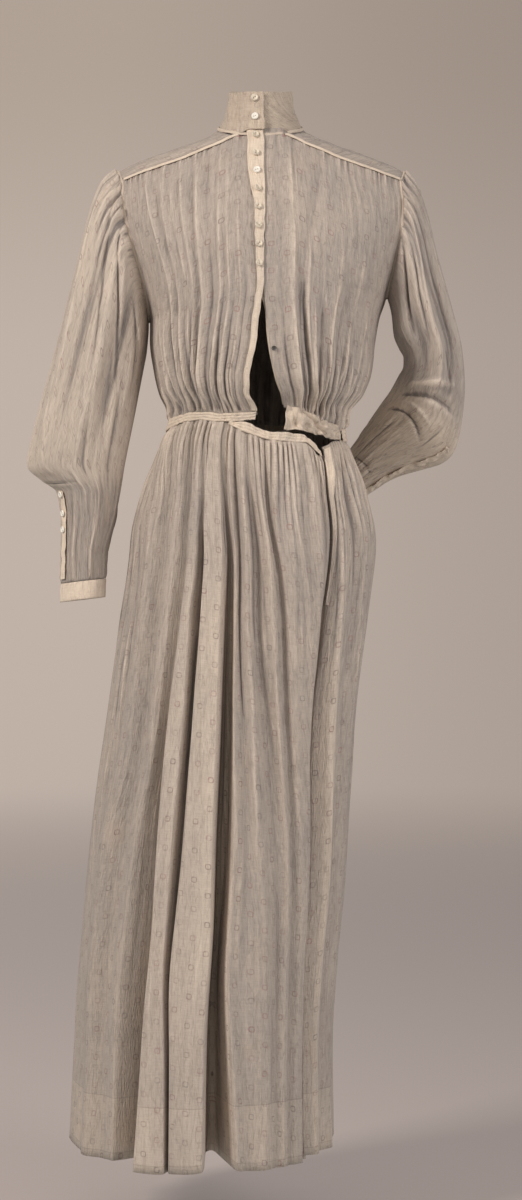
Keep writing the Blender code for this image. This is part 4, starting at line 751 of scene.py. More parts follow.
# Ridges and troughs of the skirt: name, gather columns since the last one, angle round the skirt
# at each fold height (0 at the front, + to the wearer's left), how far it stands out in mm
SKIRT_FOLDS = (
    ("side seam right", 0, (-90, -90, -90, -90, -90, -90, -90, -90), (0, 0, 0, 0, 0, 0, 0, 0)),
    ("side trough", 3, (-80, -62, -61, -62, -68, -69, -68, -67), (-1, -3, -4, -5, -6, -6, -6, -6)),
    ("side ridge", 3, (-69, -54, -53, -51, -56, -58, -57, -56), (1, 3, 4, 4, 5, 5, 4, 3)),
    ("first trough", 3, (-59, -47, -45, -43, -47, -49, -48, -47), (-1, -4, -7, -7, -7, -6, -6, -5)),
    ("first ridge", 3, (-51, -40, -38, -35, -38, -40, -40, -40), (1, 3, 4, 5, 4, 3, 0, -4)),
    ("panel trough", 3, (-43, -34, -31, -30, -30, -28, -27.5, -29), (-1, -5, -7, -13, -20, -34, -56, -84)),
    ("panel lip", 2, (-38, -30, -27.5, -26, -24, -23, -23.5, -24.5), (1, 4, 8, 9, 11, 13, 15, 17)),
    ("panel face", 2, (-34, -27, -24, -20, -19, -18, -15, -13.5), (1, 4, 7, 8, 9, 10, 11, 12)),
    ("line", 1, (-32, -25, -21.5, -17.5, -16.5, -16, -13.5, -12.5), (-1, -4, -13, -14, -13, -9, -6, -3)),
    ("second lip", 1, (-29.5, -23, -18, -14.5, -13, -14, -12, -10.5), (1, 4, 8, 10, 11, 12, 13, 13)),
    ("second face", 3, (-21.5, -16, -10, -4.5, -2, 0.5, 1, 1.5), (1, 4, 10, 14, 15, 16, 18, 20)),
    ("deep trough right", 1, (-20, -14, -8, -2, 0.5, 3, 4, 4.5), (-1, -5, -18, -30, -38, -46, -58, -76)),
    ("deep trough left", 1, (-16.5, -12.5, -5.5, 1.5, 4.5, 5.5, 8.5, 11.5),
     (-1, -5, -17, -28, -36, -44, -56, -76)),
    ("third lip", 1, (-15, -10.5, -3.5, 3.5, 7, 8.5, 12.5, 15.5), (1, 4, 3, 5, 8, 9, 10, 10)),
    ("third trough", 1, (-12.5, -8, -1.5, 8, 13, 16, 19, 21), (-1, -4, -4, -1, 0, 1, 2, 2)),
    ("fourth ridge", 1, (-9, -5, 2, 12.5, 18.5, 24, 27, 27), (1, 4, 6, 6, 5, 5, 4, 4)),
    ("fourth trough", 1, (-5, -1.5, 6.5, 20, 27, 31, 33, 33), (-1, -6, -9, -8, -5, -3, -1, 0)),
    ("fifth ridge", 1, (-1.5, 3, 13, 24, 31, 35, 37, 37), (1, 4, 7, 5, 4, 4, 4, 4)),
    ("fifth trough", 2, (6, 7, 18, 28, 34, 38, 40, 40), (-1, -5, -6, -4, -3, -1, 0, 1)),
    ("flat ridge", 2, (13, 11, 21, 31, 38, 41.5, 43, 43), (1, 4, 5, 5, 5, 5, 5, 5)),
    ("flat edge", 4, (32, 31, 35, 38, 42, 44, 46, 46), (1, 2, 5, 6, 6, 6, 6, 6)),
    ("opening trough", 3, (47, 41, 42, 43, 47, 48, 50, 50), (-1, -5, -12, -15, -15, -12, -8, -6)),
    ("opening ridge", 1, (52, 45, 48, 51, 54, 55, 56, 56), (1, 3, 5, 7, 6, 5, 4, 4)),
    ("left trough", 2, (62, 51, 57, 60, 61, 62, 62, 62), (-1, -3, -5, -3, -3, -3, -3, -3)),
    ("left ridge", 3, (75, 63, 69, 70, 70, 70, 70, 70), (1, 2, 3, 3, 3, 4, 4, 4)),
    ("left side trough", 3, (84, 78, 80, 80, 80, 80, 80, 80), (-1, -2, -2, -3, -3, -3, -3, -3)),
    ("left side", 2, (93, 92, 92, 92, 92, 92, 92, 92), (0, 0, 0, 0, 0, 0, 0, 0)),
    ("back trough 1", 3, (105, 104, 103, 102, 102, 102, 102, 102), (-1, -3, -6, -9, -11, -12, -13, -14)),
    ("back ridge 1", 3, (117, 116, 115, 114, 114, 114, 114, 114), (1, 3, 6, 8, 9, 10, 10, 10)),
    ("back trough 2", 3, (128, 127, 126, 126, 126, 126, 126, 126), (-1, -4, -8, -12, -16, -20, -24, -28)),
    ("back ridge 2", 3, (138, 138, 138, 138, 138, 138, 138, 138), (1, 4, 7, 9, 10, 11, 12, 12)),
    ("back trough 3", 3, (148, 148, 149, 150, 151, 151, 151, 151), (-1, -4, -6, -9, -12, -14, -16, -18)),
    ("back ridge 3", 3, (157, 158, 160, 161, 162, 163, 163, 163), (1, 4, 8, 11, 12, 13, 13, 13)),
    ("back trough 4", 3, (167, 168, 170, 171, 172, 173, 173, 173), (-1, -5, -10, -16, -22, -28, -34, -40)),
    ("back ridge 4", 3, (176, 178, 180, 181, 182, 183, 183, 183), (1, 4, 8, 10, 11, 12, 12, 12)),
    ("back trough 5", 3, (186, 188, 190, 191, 192, 193, 193, 193), (-1, -3, -6, -8, -10, -11, -12, -12)),
    ("back ridge 5", 3, (196, 198, 200, 202, 203, 204, 205, 205), (1, 4, 8, 11, 13, 14, 15, 15)),
    ("back trough 6", 3, (206, 208, 210, 212, 213, 214, 215, 215), (-1, -5, -11, -18, -25, -32, -38, -44)),
    ("back ridge 6", 3, (216, 218, 220, 221, 222, 223, 223, 223), (1, 4, 7, 9, 10, 11, 12, 12)),
    ("back trough 7", 3, (227, 229, 231, 232, 233, 233, 233, 233), (-1, -4, -7, -10, -12, -13, -14, -14)),
    ("back ridge 7", 3, (239, 241, 242, 243, 243, 243, 243, 243), (1, 3, 6, 8, 9, 10, 10, 10)),
    ("back trough 8", 3, (254, 255, 256, 256, 256, 256, 256, 256), (-1, -3, -5, -8, -9, -10, -10, -10)),
    ("side seam right again", 3, (270, 270, 270, 270, 270, 270, 270, 270), (0, 0, 0, 0, 0, 0, 0, 0)),
)
OPENING_FOLD = "opening trough"

# Top edge of the skirt's left part beyond its opening, under the bands: angle, height
SKIRT_TOP_LEFT = (
    (46, -0.3980),
    (60, -0.3880),
)

# Room left at the skirt's opening and side seam and lap of the front under the back, in gather columns,
# and how far the lap lies inside
OPENING_SLIT = 0.15
SIDE_SLIT = 0.06
UNDER_LAP = 0.50
UNDER_LAP_DEPTH = 0.0040

# Raised hem at the deep trough: angle, half width in degrees, height
HEM_RISE = (8, 6, 0.008)

# Width of the strip at the skirt's opening at fractions of the skirt's length
SKIRT_STRIP_WIDTH = ((0, 0.08, 0.22), (0.0130, 0.0120, 0.0075))

# Sleeves: outer x and z, inner x and z, centre y and half depth of each ring, right sleeve
SLEEVE_RIGHT = (
    (-0.188, -0.029, -0.148, -0.228, 0.000, 0.052),
    (-0.206, -0.042, -0.149, -0.238, 0.000, 0.063),
    (-0.219, -0.066, -0.151, -0.252, 0.002, 0.068),
    (-0.231, -0.105, -0.153, -0.264, 0.003, 0.070),
    (-0.245, -0.165, -0.157, -0.282, 0.004, 0.070),
    (-0.262, -0.232, -0.162, -0.308, 0.004, 0.069),
    (-0.281, -0.305, -0.168, -0.345, 0.004, 0.067),
    (-0.297, -0.366, -0.174, -0.382, 0.003, 0.064),
    (-0.306, -0.412, -0.180, -0.415, 0.001, 0.057),
    (-0.288, -0.433, -0.183, -0.434, -0.001, 0.050),
    (-0.266, -0.450, -0.187, -0.456, -0.003, 0.044),
    (-0.261, -0.490, -0.194, -0.490, -0.006, 0.038),
    (-0.261, -0.530, -0.203, -0.530, -0.010, 0.034),
    (-0.262, -0.568, -0.204, -0.561, -0.014, 0.031),
)
SLEEVE_LEFT = (
    (0.187, -0.030, 0.164, -0.196, 0.000, 0.052),
    (0.203, -0.050, 0.168, -0.203, 0.002, 0.063),
    (0.217, -0.090, 0.172, -0.214, 0.004, 0.069),
    (0.231, -0.142, 0.176, -0.238, 0.008, 0.071),
    (0.249, -0.204, 0.184, -0.254, 0.014, 0.071),
    (0.264, -0.262, 0.191, -0.268, 0.021, 0.069),
    (0.268, -0.312, 0.190, -0.279, 0.030, 0.067),
    (0.265, -0.354, 0.182, -0.293, 0.042, 0.064),
    (0.256, -0.392, 0.172, -0.311, 0.056, 0.059),
    (0.240, -0.407, 0.160, -0.329, 0.069, 0.053),
    (0.211, -0.415, 0.144, -0.352, 0.085, 0.045),
    (0.181, -0.424, 0.126, -0.378, 0.102, 0.038),
    (0.152, -0.440, 0.108, -0.402, 0.120, 0.033),
    (0.128, -0.458, 0.090, -0.424, 0.136, 0.030),
)
SLEEVE_RINGS = {"right": SLEEVE_RIGHT, "left": SLEEVE_LEFT}
CUFF_LENGTH = 0.024
ARMHOLE_CORNER = math.radians(45)
ARMHOLE_GAP = 0.0028
HEAD_LENGTH = 0.09

# Long folds of the sleeves: turn in degrees, from v, to v, height in mm, half width in degrees
SLEEVE_FOLDS = (
    (40, 0.04, 0.62, 5.0, 13),
    (66, 0.04, 0.55, -6.0, 10),
    (90, 0.04, 0.60, 5.0, 12),
    (118, 0.06, 0.58, -7.0, 11),
    (145, 0.04, 0.50, 5.0, 13),
    (200, 0.04, 0.55, 4.0, 14),
    (228, 0.04, 0.60, -5.0, 12),
    (255, 0.04, 0.62, 5.0, 13),
    (285, 0.04, 0.58, -5.0, 12),
    (318, 0.04, 0.62, 4.0, 14),
)

# Button strips of the sleeves: turn in degrees and first row down the sleeve
SLEEVE_STRIPS = {"right": (36, 0.76), "left": (38, 0.63)}
SLEEVE_STRIP_WIDTH = 0.010
SLEEVE_STRIP_END = 0.99
SLEEVE_BUTTON_ROWS = (0.775, 0.823, 0.862)

# Small turn to either side of a point, for the direction across a sleeve's strip there
TURN_STEP = 0.07


def smooth(xs, ys, x):
    """A curve through the points that never swings past them."""
    xs = np.asarray(xs, float)
    ys = np.asarray(ys, float)
    if xs[0] > xs[-1]:
        xs, ys = xs[::-1], ys[::-1]
    step = np.diff(xs)
    slope = np.diff(ys) / step
    tangent = np.zeros(len(xs))
    tangent[0], tangent[-1] = slope[0], slope[-1]
    before, after = slope[:-1], slope[1:]
    same_way = before * after > 0
    total = np.where(same_way, before + after, 1)
    tangent[1:-1] = np.where(same_way, 2 * before * after / total, 0)
    x = np.clip(np.asarray(x, float), xs[0], xs[-1])
    i = np.clip(np.searchsorted(xs, x, side="right") - 1, 0, len(step) - 1)
    t = (x - xs[i]) / step[i]
    return ((2 * t**3 - 3 * t**2 + 1) * ys[i] + (t**3 - 2 * t**2 + t) * step[i] * tangent[i]
            + (3 * t**2 - 2 * t**3) * ys[i + 1] + (t**3 - t**2) * step[i] * tangent[i + 1])


def column(table, place, x):
    """The value in one column of a table at x, read along its first column."""
    return smooth([row[0] for row in table], [row[place] for row in table], x)


def normals(points):
    """Unit normals of a grid of points, rows down and columns across."""
    across = np.gradient(points, axis=1)
    down = np.gradient(points, axis=0)
    normal = np.cross(across, down)
    return normal / np.maximum(np.linalg.norm(normal, axis=2, keepdims=True), 1e-12)


def moved_out(points, distance, level=False):
    """The grid moved along its normals, or level along them so that seams keep their height."""
    distance = np.broadcast_to(distance, points.shape[:2])
    normal = normals(points)
    if level:
        normal[..., 2] = 0
        normal /= np.maximum(np.linalg.norm(normal, axis=2, keepdims=True), 0.3)
    return points + normal * distance[..., None]


def grid(us, vs):
    """Parameters of a grid: u across and v down."""
    return np.meshgrid(np.asarray(us, float), np.asarray(vs, float))


# Bodice

def bodice_edges(side, z):
    """x of the front edge and of the outer edge of a bodice front."""
    front = column(FRONT_EDGES, 1 if side < 0 else 2, z)
    return front, side * column(SIDE_EDGES[side], 1, z)


def front_low(side, u):
    """Height of the lower edge of a bodice front, where its band begins."""
    if side < 0:
        return column(WAISTBAND, 1, -90 * u) + BAND_GAP
    rows = BAND_FRONT_LEFT + tuple((row[0] + 360, row[1]) for row in WAISTBAND[:2])
    first = math.sin(math.radians(BAND_FRONT_LEFT[0][0]))
    angle = np.degrees(np.arcsin(first + (1 - first) * np.sin(u * math.pi / 2)))
    return column(rows, 1, angle) + LEFT_BAND_GAP


def form_front(side, x, z):
    """Depth of the front of the general form at x and z."""
    front_x, outer_x = bodice_edges(side, z)
    reach = np.radians(column(SIDE_EDGES[side], 4, z))
    across = np.clip((x - front_x) / (outer_x - front_x), -0.3, 1)
    turned = np.arcsin(across * np.sin(reach))
    depth = (np.cos(turned) - np.cos(reach)) / (1 - np.cos(reach))
    outer_y = column(SIDE_EDGES[side], 2, z)
    rise = LEFT_WAIST_RISE * smooth(LEFT_WAIST_RANGE, (1, 0), z) if side > 0 else 0
    return outer_y + (column(BODICE_PROFILE, 1, z - rise) - outer_y) * depth


def waist_depth(x, outer_x, z, depth_column):
    """Depth of the waist's ring at x, where the ring ends at outer_x."""
    centre_x = column(SKIRT_FORM, 1, z)
    across = np.clip((x - centre_x) / (outer_x - centre_x), -1, 1)
    return column(SKIRT_FORM, depth_column, z) * np.sqrt(1 - across**2)


def body_front(side, x, z):
    """Depth of a bodice front at x and z: the form, fitted to the neck and yoke seams and to the waist."""
    top_y = column(FRONT_TOP, 1, np.abs(x))
    top_z = column(FRONT_TOP, 2, np.abs(x))
    near_top = np.clip(1 - (top_z - z) / TOP_FIT_LENGTH, 0, 1) ** 2
    y = form_front(side, x, z) + (top_y - form_front(side, x, top_z)) * near_top
    front_x, outer_x = bodice_edges(side, z)
    u = np.arcsin(np.clip((x - front_x) / (outer_x - front_x), 0, 1)) / (math.pi / 2)
    low_z = front_low(side, u)
    _, low_outer_x = bodice_edges(side, low_z)
    low_y = -waist_depth(x, low_outer_x, low_z, 4)
    near_waist = np.clip(1 - (z - low_z) / WAIST_FIT_LENGTH, 0, 1) ** 2
    return y + (low_y - form_front(side, x, low_z)) * near_waist


def bodice_front(side, u, v):
    """A point of a bodice front: u from front edge to armhole and side, v from yoke to waist."""
    reach = math.radians(TOP_REACH)
    top_x = side * SIDE_EDGES[side][0][1] * np.sin(u * reach) / math.sin(reach)
    top_z = column(FRONT_TOP, 2, np.abs(top_x))
    z = top_z + (front_low(side, u) - top_z) * v
    front_x, outer_x = bodice_edges(side, z)
    reach = np.radians(column(SIDE_EDGES[side], 4, z))
    x = front_x + (outer_x - front_x) * np.sin(u * reach) / np.sin(reach)
    return np.stack([x, body_front(side, x, z), z], axis=-1)


def bodice_back(u, v):
    """A point of the back: u from right armhole and side to the left one, v from yoke to waist."""
    across = 2 * u - 1
    side = np.where(across < 0, -1, 1)
    span = np.abs(across)
    reach = math.radians(TOP_REACH)
    top_x = BACK_HALF_WIDTH * np.sin(span * reach) / math.sin(reach)
    top_z = column(BACK_YOKE_SEAM, 1, top_x) - SEAM_GAP
    low_z = column(WAISTBAND, 1, -180 - 90 * across) + BAND_GAP
    z = top_z + (low_z - top_z) * v
    outer_x, outer_y, reach = [np.where(side < 0, column(SIDE_RIGHT, k, z), column(SIDE_LEFT, k, z))
                               for k in (1, 3, 4)]
    outer_y = np.where(span > 0.999, np.maximum(outer_y, SIDE_SEAM_GAP), outer_y)
    reach = np.radians(reach)
    back_y = column(BODICE_PROFILE, 2, z)
    x = side * outer_x * np.sin(span * reach) / np.sin(reach)
    y = outer_y + (back_y - outer_y) * (np.cos(span * reach) - np.cos(reach)) / (1 - np.cos(reach))
    return np.stack([x, y, z], axis=-1)


# Collar and yoke

def neck_point(angle, rise):
    """A point of the stand collar: rise 0 at its seam and 1 at its top edge."""
    back = (1 - np.cos(angle)) / 2
    low = NECK_FRONT_HEIGHT + NECK_BACK_RISE * back + NECK_SIDE_RISE * np.sin(angle) ** 2
    high = COLLAR_TOP_FRONT + (COLLAR_TOP_BACK - COLLAR_TOP_FRONT) * back
    half_width = NECK_HALF_WIDTH - COLLAR_TAPER * (1 - (1 - rise) ** 2.2)
    half_depth = NECK_HALF_DEPTH + NECK_FLARE * (1 - rise) ** 1.6
    x = NECK_CENTRE_X + half_width * np.sin(angle)
    y = NECK_CENTRE_Y - half_depth * np.cos(angle) + NECK_BACK_SHIFT * back * (1 - rise)
    return np.stack([x, y, low + (high - low) * rise], axis=-1)


def collar_surface(u, v):
    """The collar from its right end, which laps outside, round the back to its left end."""
    angle = np.radians(COLLAR_START - COLLAR_TURN * u)
    points = neck_point(angle, 1 - v)
    points[..., 2] += COLLAR_END_RISE * v * smooth(COLLAR_END_LENGTH, (1, 0), u)
    lap = COLLAR_LAP * np.clip(1 - u / 0.14, 0, 1)
    return points + lap[..., None] * np.stack([np.sin(angle), -np.cos(angle), 0 * angle], axis=-1)


def armhole_top(side, along):
    """The top of an armhole over the shoulder, from its front corner to its back one."""
    table = SIDE_EDGES[side]
    front = np.array([side * table[1][1], FRONT_TOP[-1][1], FRONT_TOP[-1][2]])
    back = np.array([side * table[1][1], ARMHOLE_BACK_Y, BACK_YOKE_SEAM[-1][1]])
    along = np.asarray(along, float)[..., None]
    arch = np.sin(math.pi * along)
    bulge = np.array([side * ARMHOLE_BULGE[0], 0.0, ARMHOLE_BULGE[1]])
    return front + (back - front) * along + bulge * arch


def yoke_outer(side, t):
    """Outer edge of half of the yoke: t 0 at the front seam's shoulder end, 1 at the centre of the back."""
    arch = armhole_top(side, np.clip(t / SHOULDER_SHARE, 0, 1))
    span = 1 - np.clip((t - SHOULDER_SHARE) / (1 - SHOULDER_SHARE), 0, 1)
    u = 0.5 + 0.5 * side * span
    seam = bodice_back(u, np.zeros_like(u))
    seam[..., 2] += 2 * SEAM_GAP
    return np.where((t < SHOULDER_SHARE)[..., None], arch, seam)


def yoke_grid(us, vs):
    """The yoke as a fan of lines from the neck seam out to armholes and back seam.
    u runs from the right front seam round the back to the left front seam, v from the neck outwards."""
    u, v = grid(us, vs)
    side = np.where(u < 0.5, -1, 1)
    t = 1 - np.abs(2 * u - 1)
    start = np.arcsin((YOKE_NECK_X - side * NECK_CENTRE_X) / NECK_HALF_WIDTH)
    angle = side * (start + (math.pi - start) * t)
    inner = neck_point(angle, np.zeros_like(angle))
    inner[..., 2] -= 2 * SEAM_GAP + WALL / 2
    outer = np.where((side < 0)[..., None], yoke_outer(-1, t), yoke_outer(1, t))
    points = inner + (outer - inner) * v[..., None]
    slope = np.interp(t, *YOKE_SLOPE)
    points[..., 2] = inner[..., 2] + (outer[..., 2] - inner[..., 2]) * v**slope
    seam_x = np.abs(inner[..., 0] + (outer[..., 0] - inner[..., 0]) * v)
    near = np.clip(1 - t / 0.25, 0, 1) ** 2
    seam_y = column(FRONT_TOP, 1, seam_x) + YOKE_SET_BACK
    seam_z = column(FRONT_TOP, 2, seam_x) + YOKE_SET_UP
    points[..., 1] += (seam_y - points[..., 1]) * near
    points[..., 2] += (seam_z - points[..., 2]) * near
    return points


# Front button strips

def placket_right_grid(us, vs):
    """The right button strip, on the right front from collar to waist."""
    u, v = grid(us, vs)
    top_z = FRONT_TOP[0][2] + STRIP_TOP_RISE
    z = top_z + (front_low(-1, 0.0) - top_z) * v
    inner = column(PLACKET_RIGHT, 1, z)
    x = inner + (column(PLACKET_RIGHT, 2, z) - inner) * u
    return np.stack([x, body_front(-1, x, z) - STRIP_REACH, z], axis=-1)


def placket_left_grid(us, vs):
    """The left button strip, under the right front and then along the left edge of the gap."""
    u, v = grid(us, vs)
    z = FRONT_TOP[0][2] + (front_low(1, 0.0) - FRONT_TOP[0][2]) * v
    x = column(FRONT_EDGES, 2, z) - column(PLACKET_LEFT, 1, z) + column(PLACKET_LEFT, 2, z) * u
    return np.stack([x, body_front(1, x, z) + column(PLACKET_LEFT, 3, z), z], axis=-1)


# Waist

def waist_ring(angle, z, out=0.0):
    """A point on the form at the waist."""
    cx = column(SKIRT_FORM, 1, z)
    cy = column(SKIRT_FORM, 2, z)
    half = column(SKIRT_FORM, 3, z) + out
    front = column(SKIRT_FORM, 4, z) + out
    back = column(SKIRT_FORM, 5, z) + out
    cosine = np.cos(angle)
    y = cy - np.where(cosine > 0, front, back) * cosine
    return np.stack([cx + half * np.sin(angle), y, z + 0 * angle], axis=-1)


def band_grid(table, us, vs, out):
    """A band along a row of angles, from its upper to its lower edge."""
    u, v = grid(us, vs)
    degrees = table[0][0] + (table[-1][0] - table[0][0]) * u
    high = column(table, 1, degrees)
    low = column(table, 2, degrees)
    z = high + (low - high) * v
    return waist_ring(np.radians(degrees), z, out)


# Skirt

def skirt_tracks():
    """Column number, angles and offsets of every ridge and trough."""
    count = np.cumsum([row[1] for row in SKIRT_FOLDS])
    angles = np.array([row[2] for row in SKIRT_FOLDS], float)
    offsets = np.array([row[3] for row in SKIRT_FOLDS], float) / 1000
    return count, angles, offsets


def fold_field(values, columns, z):
    """A quantity of the folds at every column and height, z given for each point of the grid."""
    count = np.cumsum([row[1] for row in SKIRT_FOLDS])
    levels = np.linspace(FOLD_HEIGHTS[0] + 0.03, FOLD_HEIGHTS[-1], 60)
    tracks = np.stack([smooth(FOLD_HEIGHTS, fold, levels) for fold in values], axis=-1)
    field = np.stack([smooth(count, track, columns) for track in tracks])
    return np.stack([np.interp(-z[:, j], -levels, field[:, j]) for j in range(len(columns))], axis=1)


def skirt_top(angle, left_part):
    """Height of the skirt's top edge at an angle round the waist."""
    if left_part:
        back = tuple((row[0] + 360, row[2]) for row in WAISTBAND)
        return column(SKIRT_TOP_LEFT + back, -1, angle) - BAND_GAP
    split = smooth((-26, SKIRT_BAND[0][0]), (0, 1), angle)
    whole, free = column(WAISTBAND, 2, angle), column(SKIRT_BAND, 2, angle)
    return whole + (free - whole) * split - BAND_GAP


# Sleeves

def sleeve_ring(side, v, turn):
    """A point of a sleeve: v down from armhole to wrist, turn round it, 0 at the outer edge, front first."""
    rings = SLEEVE_RINGS[side]
    along = np.linspace(0, 1, len(rings))
    read = [smooth(along, [ring[k] for ring in rings], v) for k in range(6)]
    outer_x, outer_z, inner_x, inner_z, centre_y, half_depth = read
    across = (1 + np.cos(turn)) / 2
    x = inner_x + (outer_x - inner_x) * across
    z = inner_z + (outer_z - inner_z) * across
    y = centre_y - half_depth * np.sin(turn)
    return np.stack([x, y, z], axis=-1)


def armhole(side, turn):
    """A point of the armhole seam on the sleeve's side: turn 0 on the shoulder, front first."""
    sign = SIDES[side]
    table = SIDE_EDGES[sign]
    bottom = next(row[0] for row in table if row[2] == 0)
    back_half = turn > math.pi
    down = np.where(back_half, 2 * math.pi - turn, turn)
    top = armhole_top(sign, 0.5 + np.where(back_half, 0.5, -0.5) * np.clip(down / ARMHOLE_CORNER, 0, 1))
    low = np.clip((down - ARMHOLE_CORNER) / (math.pi - ARMHOLE_CORNER), 0, 1)
    corner_z = np.where(back_half, BACK_YOKE_SEAM[-1][1], FRONT_TOP[-1][2])
    z = corner_z + (bottom - corner_z) * np.sin(low * math.pi / 2)
    y = np.where(back_half, column(table, 3, z), column(table, 2, z))
    side_part = np.stack([sign * column(table, 1, z), y, z], axis=-1)
    seam = np.where((down < ARMHOLE_CORNER)[..., None], top, side_part)
    return seam + np.stack([ARMHOLE_GAP * sign + 0 * turn, 0 * turn, 0 * turn], axis=-1)


def cuff_grid(side, us, vs):
    """A cuff that carries on from the end of its sleeve."""
    u, v = grid(us, vs)
    turn = 2 * math.pi * u
    end = sleeve_ring(side, np.ones_like(u), turn)
    before = sleeve_ring(side, np.full_like(u, 0.97), turn)
    along = (end - before).mean(axis=(0, 1))
    along /= np.linalg.norm(along)
    points = end + along * (SEAM_GAP + WALL * 0.2 + CUFF_LENGTH * v)[..., None]
    points[:, -1] = points[:, 0]
    return points


def sleeve_strip_grid(side, us, vs):
    """A strip that lies on the sleeve along its outer lower edge."""
    turn = math.radians(SLEEVE_STRIPS[side][0])
    u, v = grid(us, vs)
    centre = sleeve_ring(side, v, np.full_like(v, turn))
    ahead, behind = [sleeve_ring(side, v, np.full_like(v, turn + step)) for step in (TURN_STEP, -TURN_STEP)]
    across = ahead - behind
    across /= np.linalg.norm(across, axis=2, keepdims=True)
    middle = (sleeve_ring(side, v, np.zeros_like(v)) + sleeve_ring(side, v, np.full_like(v, math.pi))) / 2
    outwards = centre - middle
    outwards -= across * (outwards * across).sum(axis=2, keepdims=True)
    outwards /= np.linalg.norm(outwards, axis=2, keepdims=True)
    return centre + across * ((u - 0.5) * SLEEVE_STRIP_WIDTH)[..., None] + outwards * STRIP_REACH


# Fine form

def ripple(x, y, across, along, seed):
    """Soft seeded unevenness from -1 to 1, in waves of the sizes across and along."""
    table = np.random.default_rng(seed).uniform(-1, 1, (NOISE_CELLS, NOISE_CELLS))
    x, y = np.broadcast_arrays(np.asarray(x, float) / across, np.asarray(y, float) / along)
    i, j = np.floor(x).astype(int), np.floor(y).astype(int)
    s, t = x - i, y - j
    s, t = s * s * (3 - 2 * s), t * t * (3 - 2 * t)
    near, far = [[table[(i + a) % NOISE_CELLS, (j + b) % NOISE_CELLS] for a in (0, 1)] for b in (0, 1)]
    return (near[0] * (1 - s) + near[1] * s) * (1 - t) + (far[0] * (1 - s) + far[1] * s) * t


def uneven(name, x, y, seed):
    """The ripples listed under a name, added up."""
    return sum(height * ripple(x, y, across, along, seed + step)
               for height, across, along, step in RIPPLES[name])


def spread(count):
    """Even fractions from 0 to 1."""
    return np.linspace(0, 1, count)


def eased(x, start, end):
    """0 at start, 1 at end and soft between."""
    t = np.clip((np.asarray(x, float) - start) / (end - start), 0, 1)
    return t * t * (3 - 2 * t)


def fade(x, name):
    """0 to 1, or 1 to 0, over the range listed under a name."""
    return eased(x, *FADES[name])


def run_across(points):
    """Length run along each row of a grid of points."""
    steps = np.linalg.norm(np.diff(points, axis=1), axis=2)
    return np.concatenate([np.zeros((len(points), 1)), np.cumsum(steps, axis=1)], axis=1)


def run_down(points):
    """Length run down each column of a grid of points."""
    return run_across(points.transpose(1, 0, 2)).T


def blurred(field, down, across):
    """The field averaged over this many rows and columns to each side."""
    for axis, reach in ((0, down), (1, across)):
        kernel = np.hanning(2 * reach + 3)[1:-1]
        kernel /= kernel.sum()
        ends = [(reach, reach) if k == axis else (0, 0) for k in (0, 1)]
        padded = np.pad(field, ends, mode="edge")
        field = np.apply_along_axis(np.convolve, axis, padded, kernel, mode="valid")
    return field


def hollow_of(offset, down=6, across=12, narrow=3):
    """How far each point lies in a trough, 1 deep in it and -1 on a ridge, of wide and of narrow folds; it
    sets painted shade and highlight.
    """
    wide = (blurred(offset, down, across) - offset) / HOLLOW_DEPTH
    fine = (blurred(offset, 1, narrow) - offset) / CREST_HEIGHT
    return np.clip(HOLLOW_MIX[0] * wide + HOLLOW_MIX[1] * fine, -1, 1)


def creases(x, down, spacing, lengths, height, half_width, seed):
    """Fine seeded creases that run down the cloth, uneven in length, depth and spacing."""
    dice = np.random.default_rng(seed)
    total = np.zeros(np.broadcast(x, down).shape)
    first, last, longest = x.min(), x.max(), down.max()
    for _ in range(int((last - first) / spacing * longest / sum(lengths) * 2)):
        centre = dice.uniform(first, last)
        length = dice.uniform(*lengths)
        start = dice.uniform(-0.3 * length, longest - 0.6 * length)
        slant, bow = dice.normal(0, CREASE_SLANT), dice.normal(0, CREASE_BOW)
        t = np.clip((down - start) / length, 0, 1)
        away = x - centre - slant * (down - start) - bow * np.sin(math.pi * t)
        swell = np.sin(math.pi * t) ** 0.5
        tall = height * dice.uniform(0.35, 1.0) * (1 if dice.random() < RIDGE_CHANCE else GROOVE_HEIGHT)
        total += tall * np.exp(-np.abs(away / (half_width * dice.uniform(0.7, 1.5))) ** 1.6) * swell
    return total


def gathers(x, down, pitch, height, reach, seed):
    """Gathers from a seam: x along it and down from it, of uneven length, height and spacing."""
    total = np.zeros(np.broadcast(x, down).shape)
    for number, (size, share, length) in enumerate(GATHER_SIZES):
        spacing = pitch * size
        warp = ripple(x, down, 2.7 * spacing, 5 * reach, seed + number) * 2.6
        lengths = reach * length * (1 + 0.55 * ripple(x, 0 * down, 1.3 * spacing, 1, seed + 10 + number))
        heights = 1 + 0.45 * ripple(x, down, 1.6 * spacing, 2 * reach, seed + 20 + number)
        phase = 2 * math.pi * x / spacing + warp
        wave = np.cos(phase) + 0.25 * np.cos(2 * phase + 0.8)
        total += share * wave * heights * np.exp(-(down / lengths) ** 1.5)
    return height * total * (0.3 + 0.7 * fade(down, "gathers begin"))


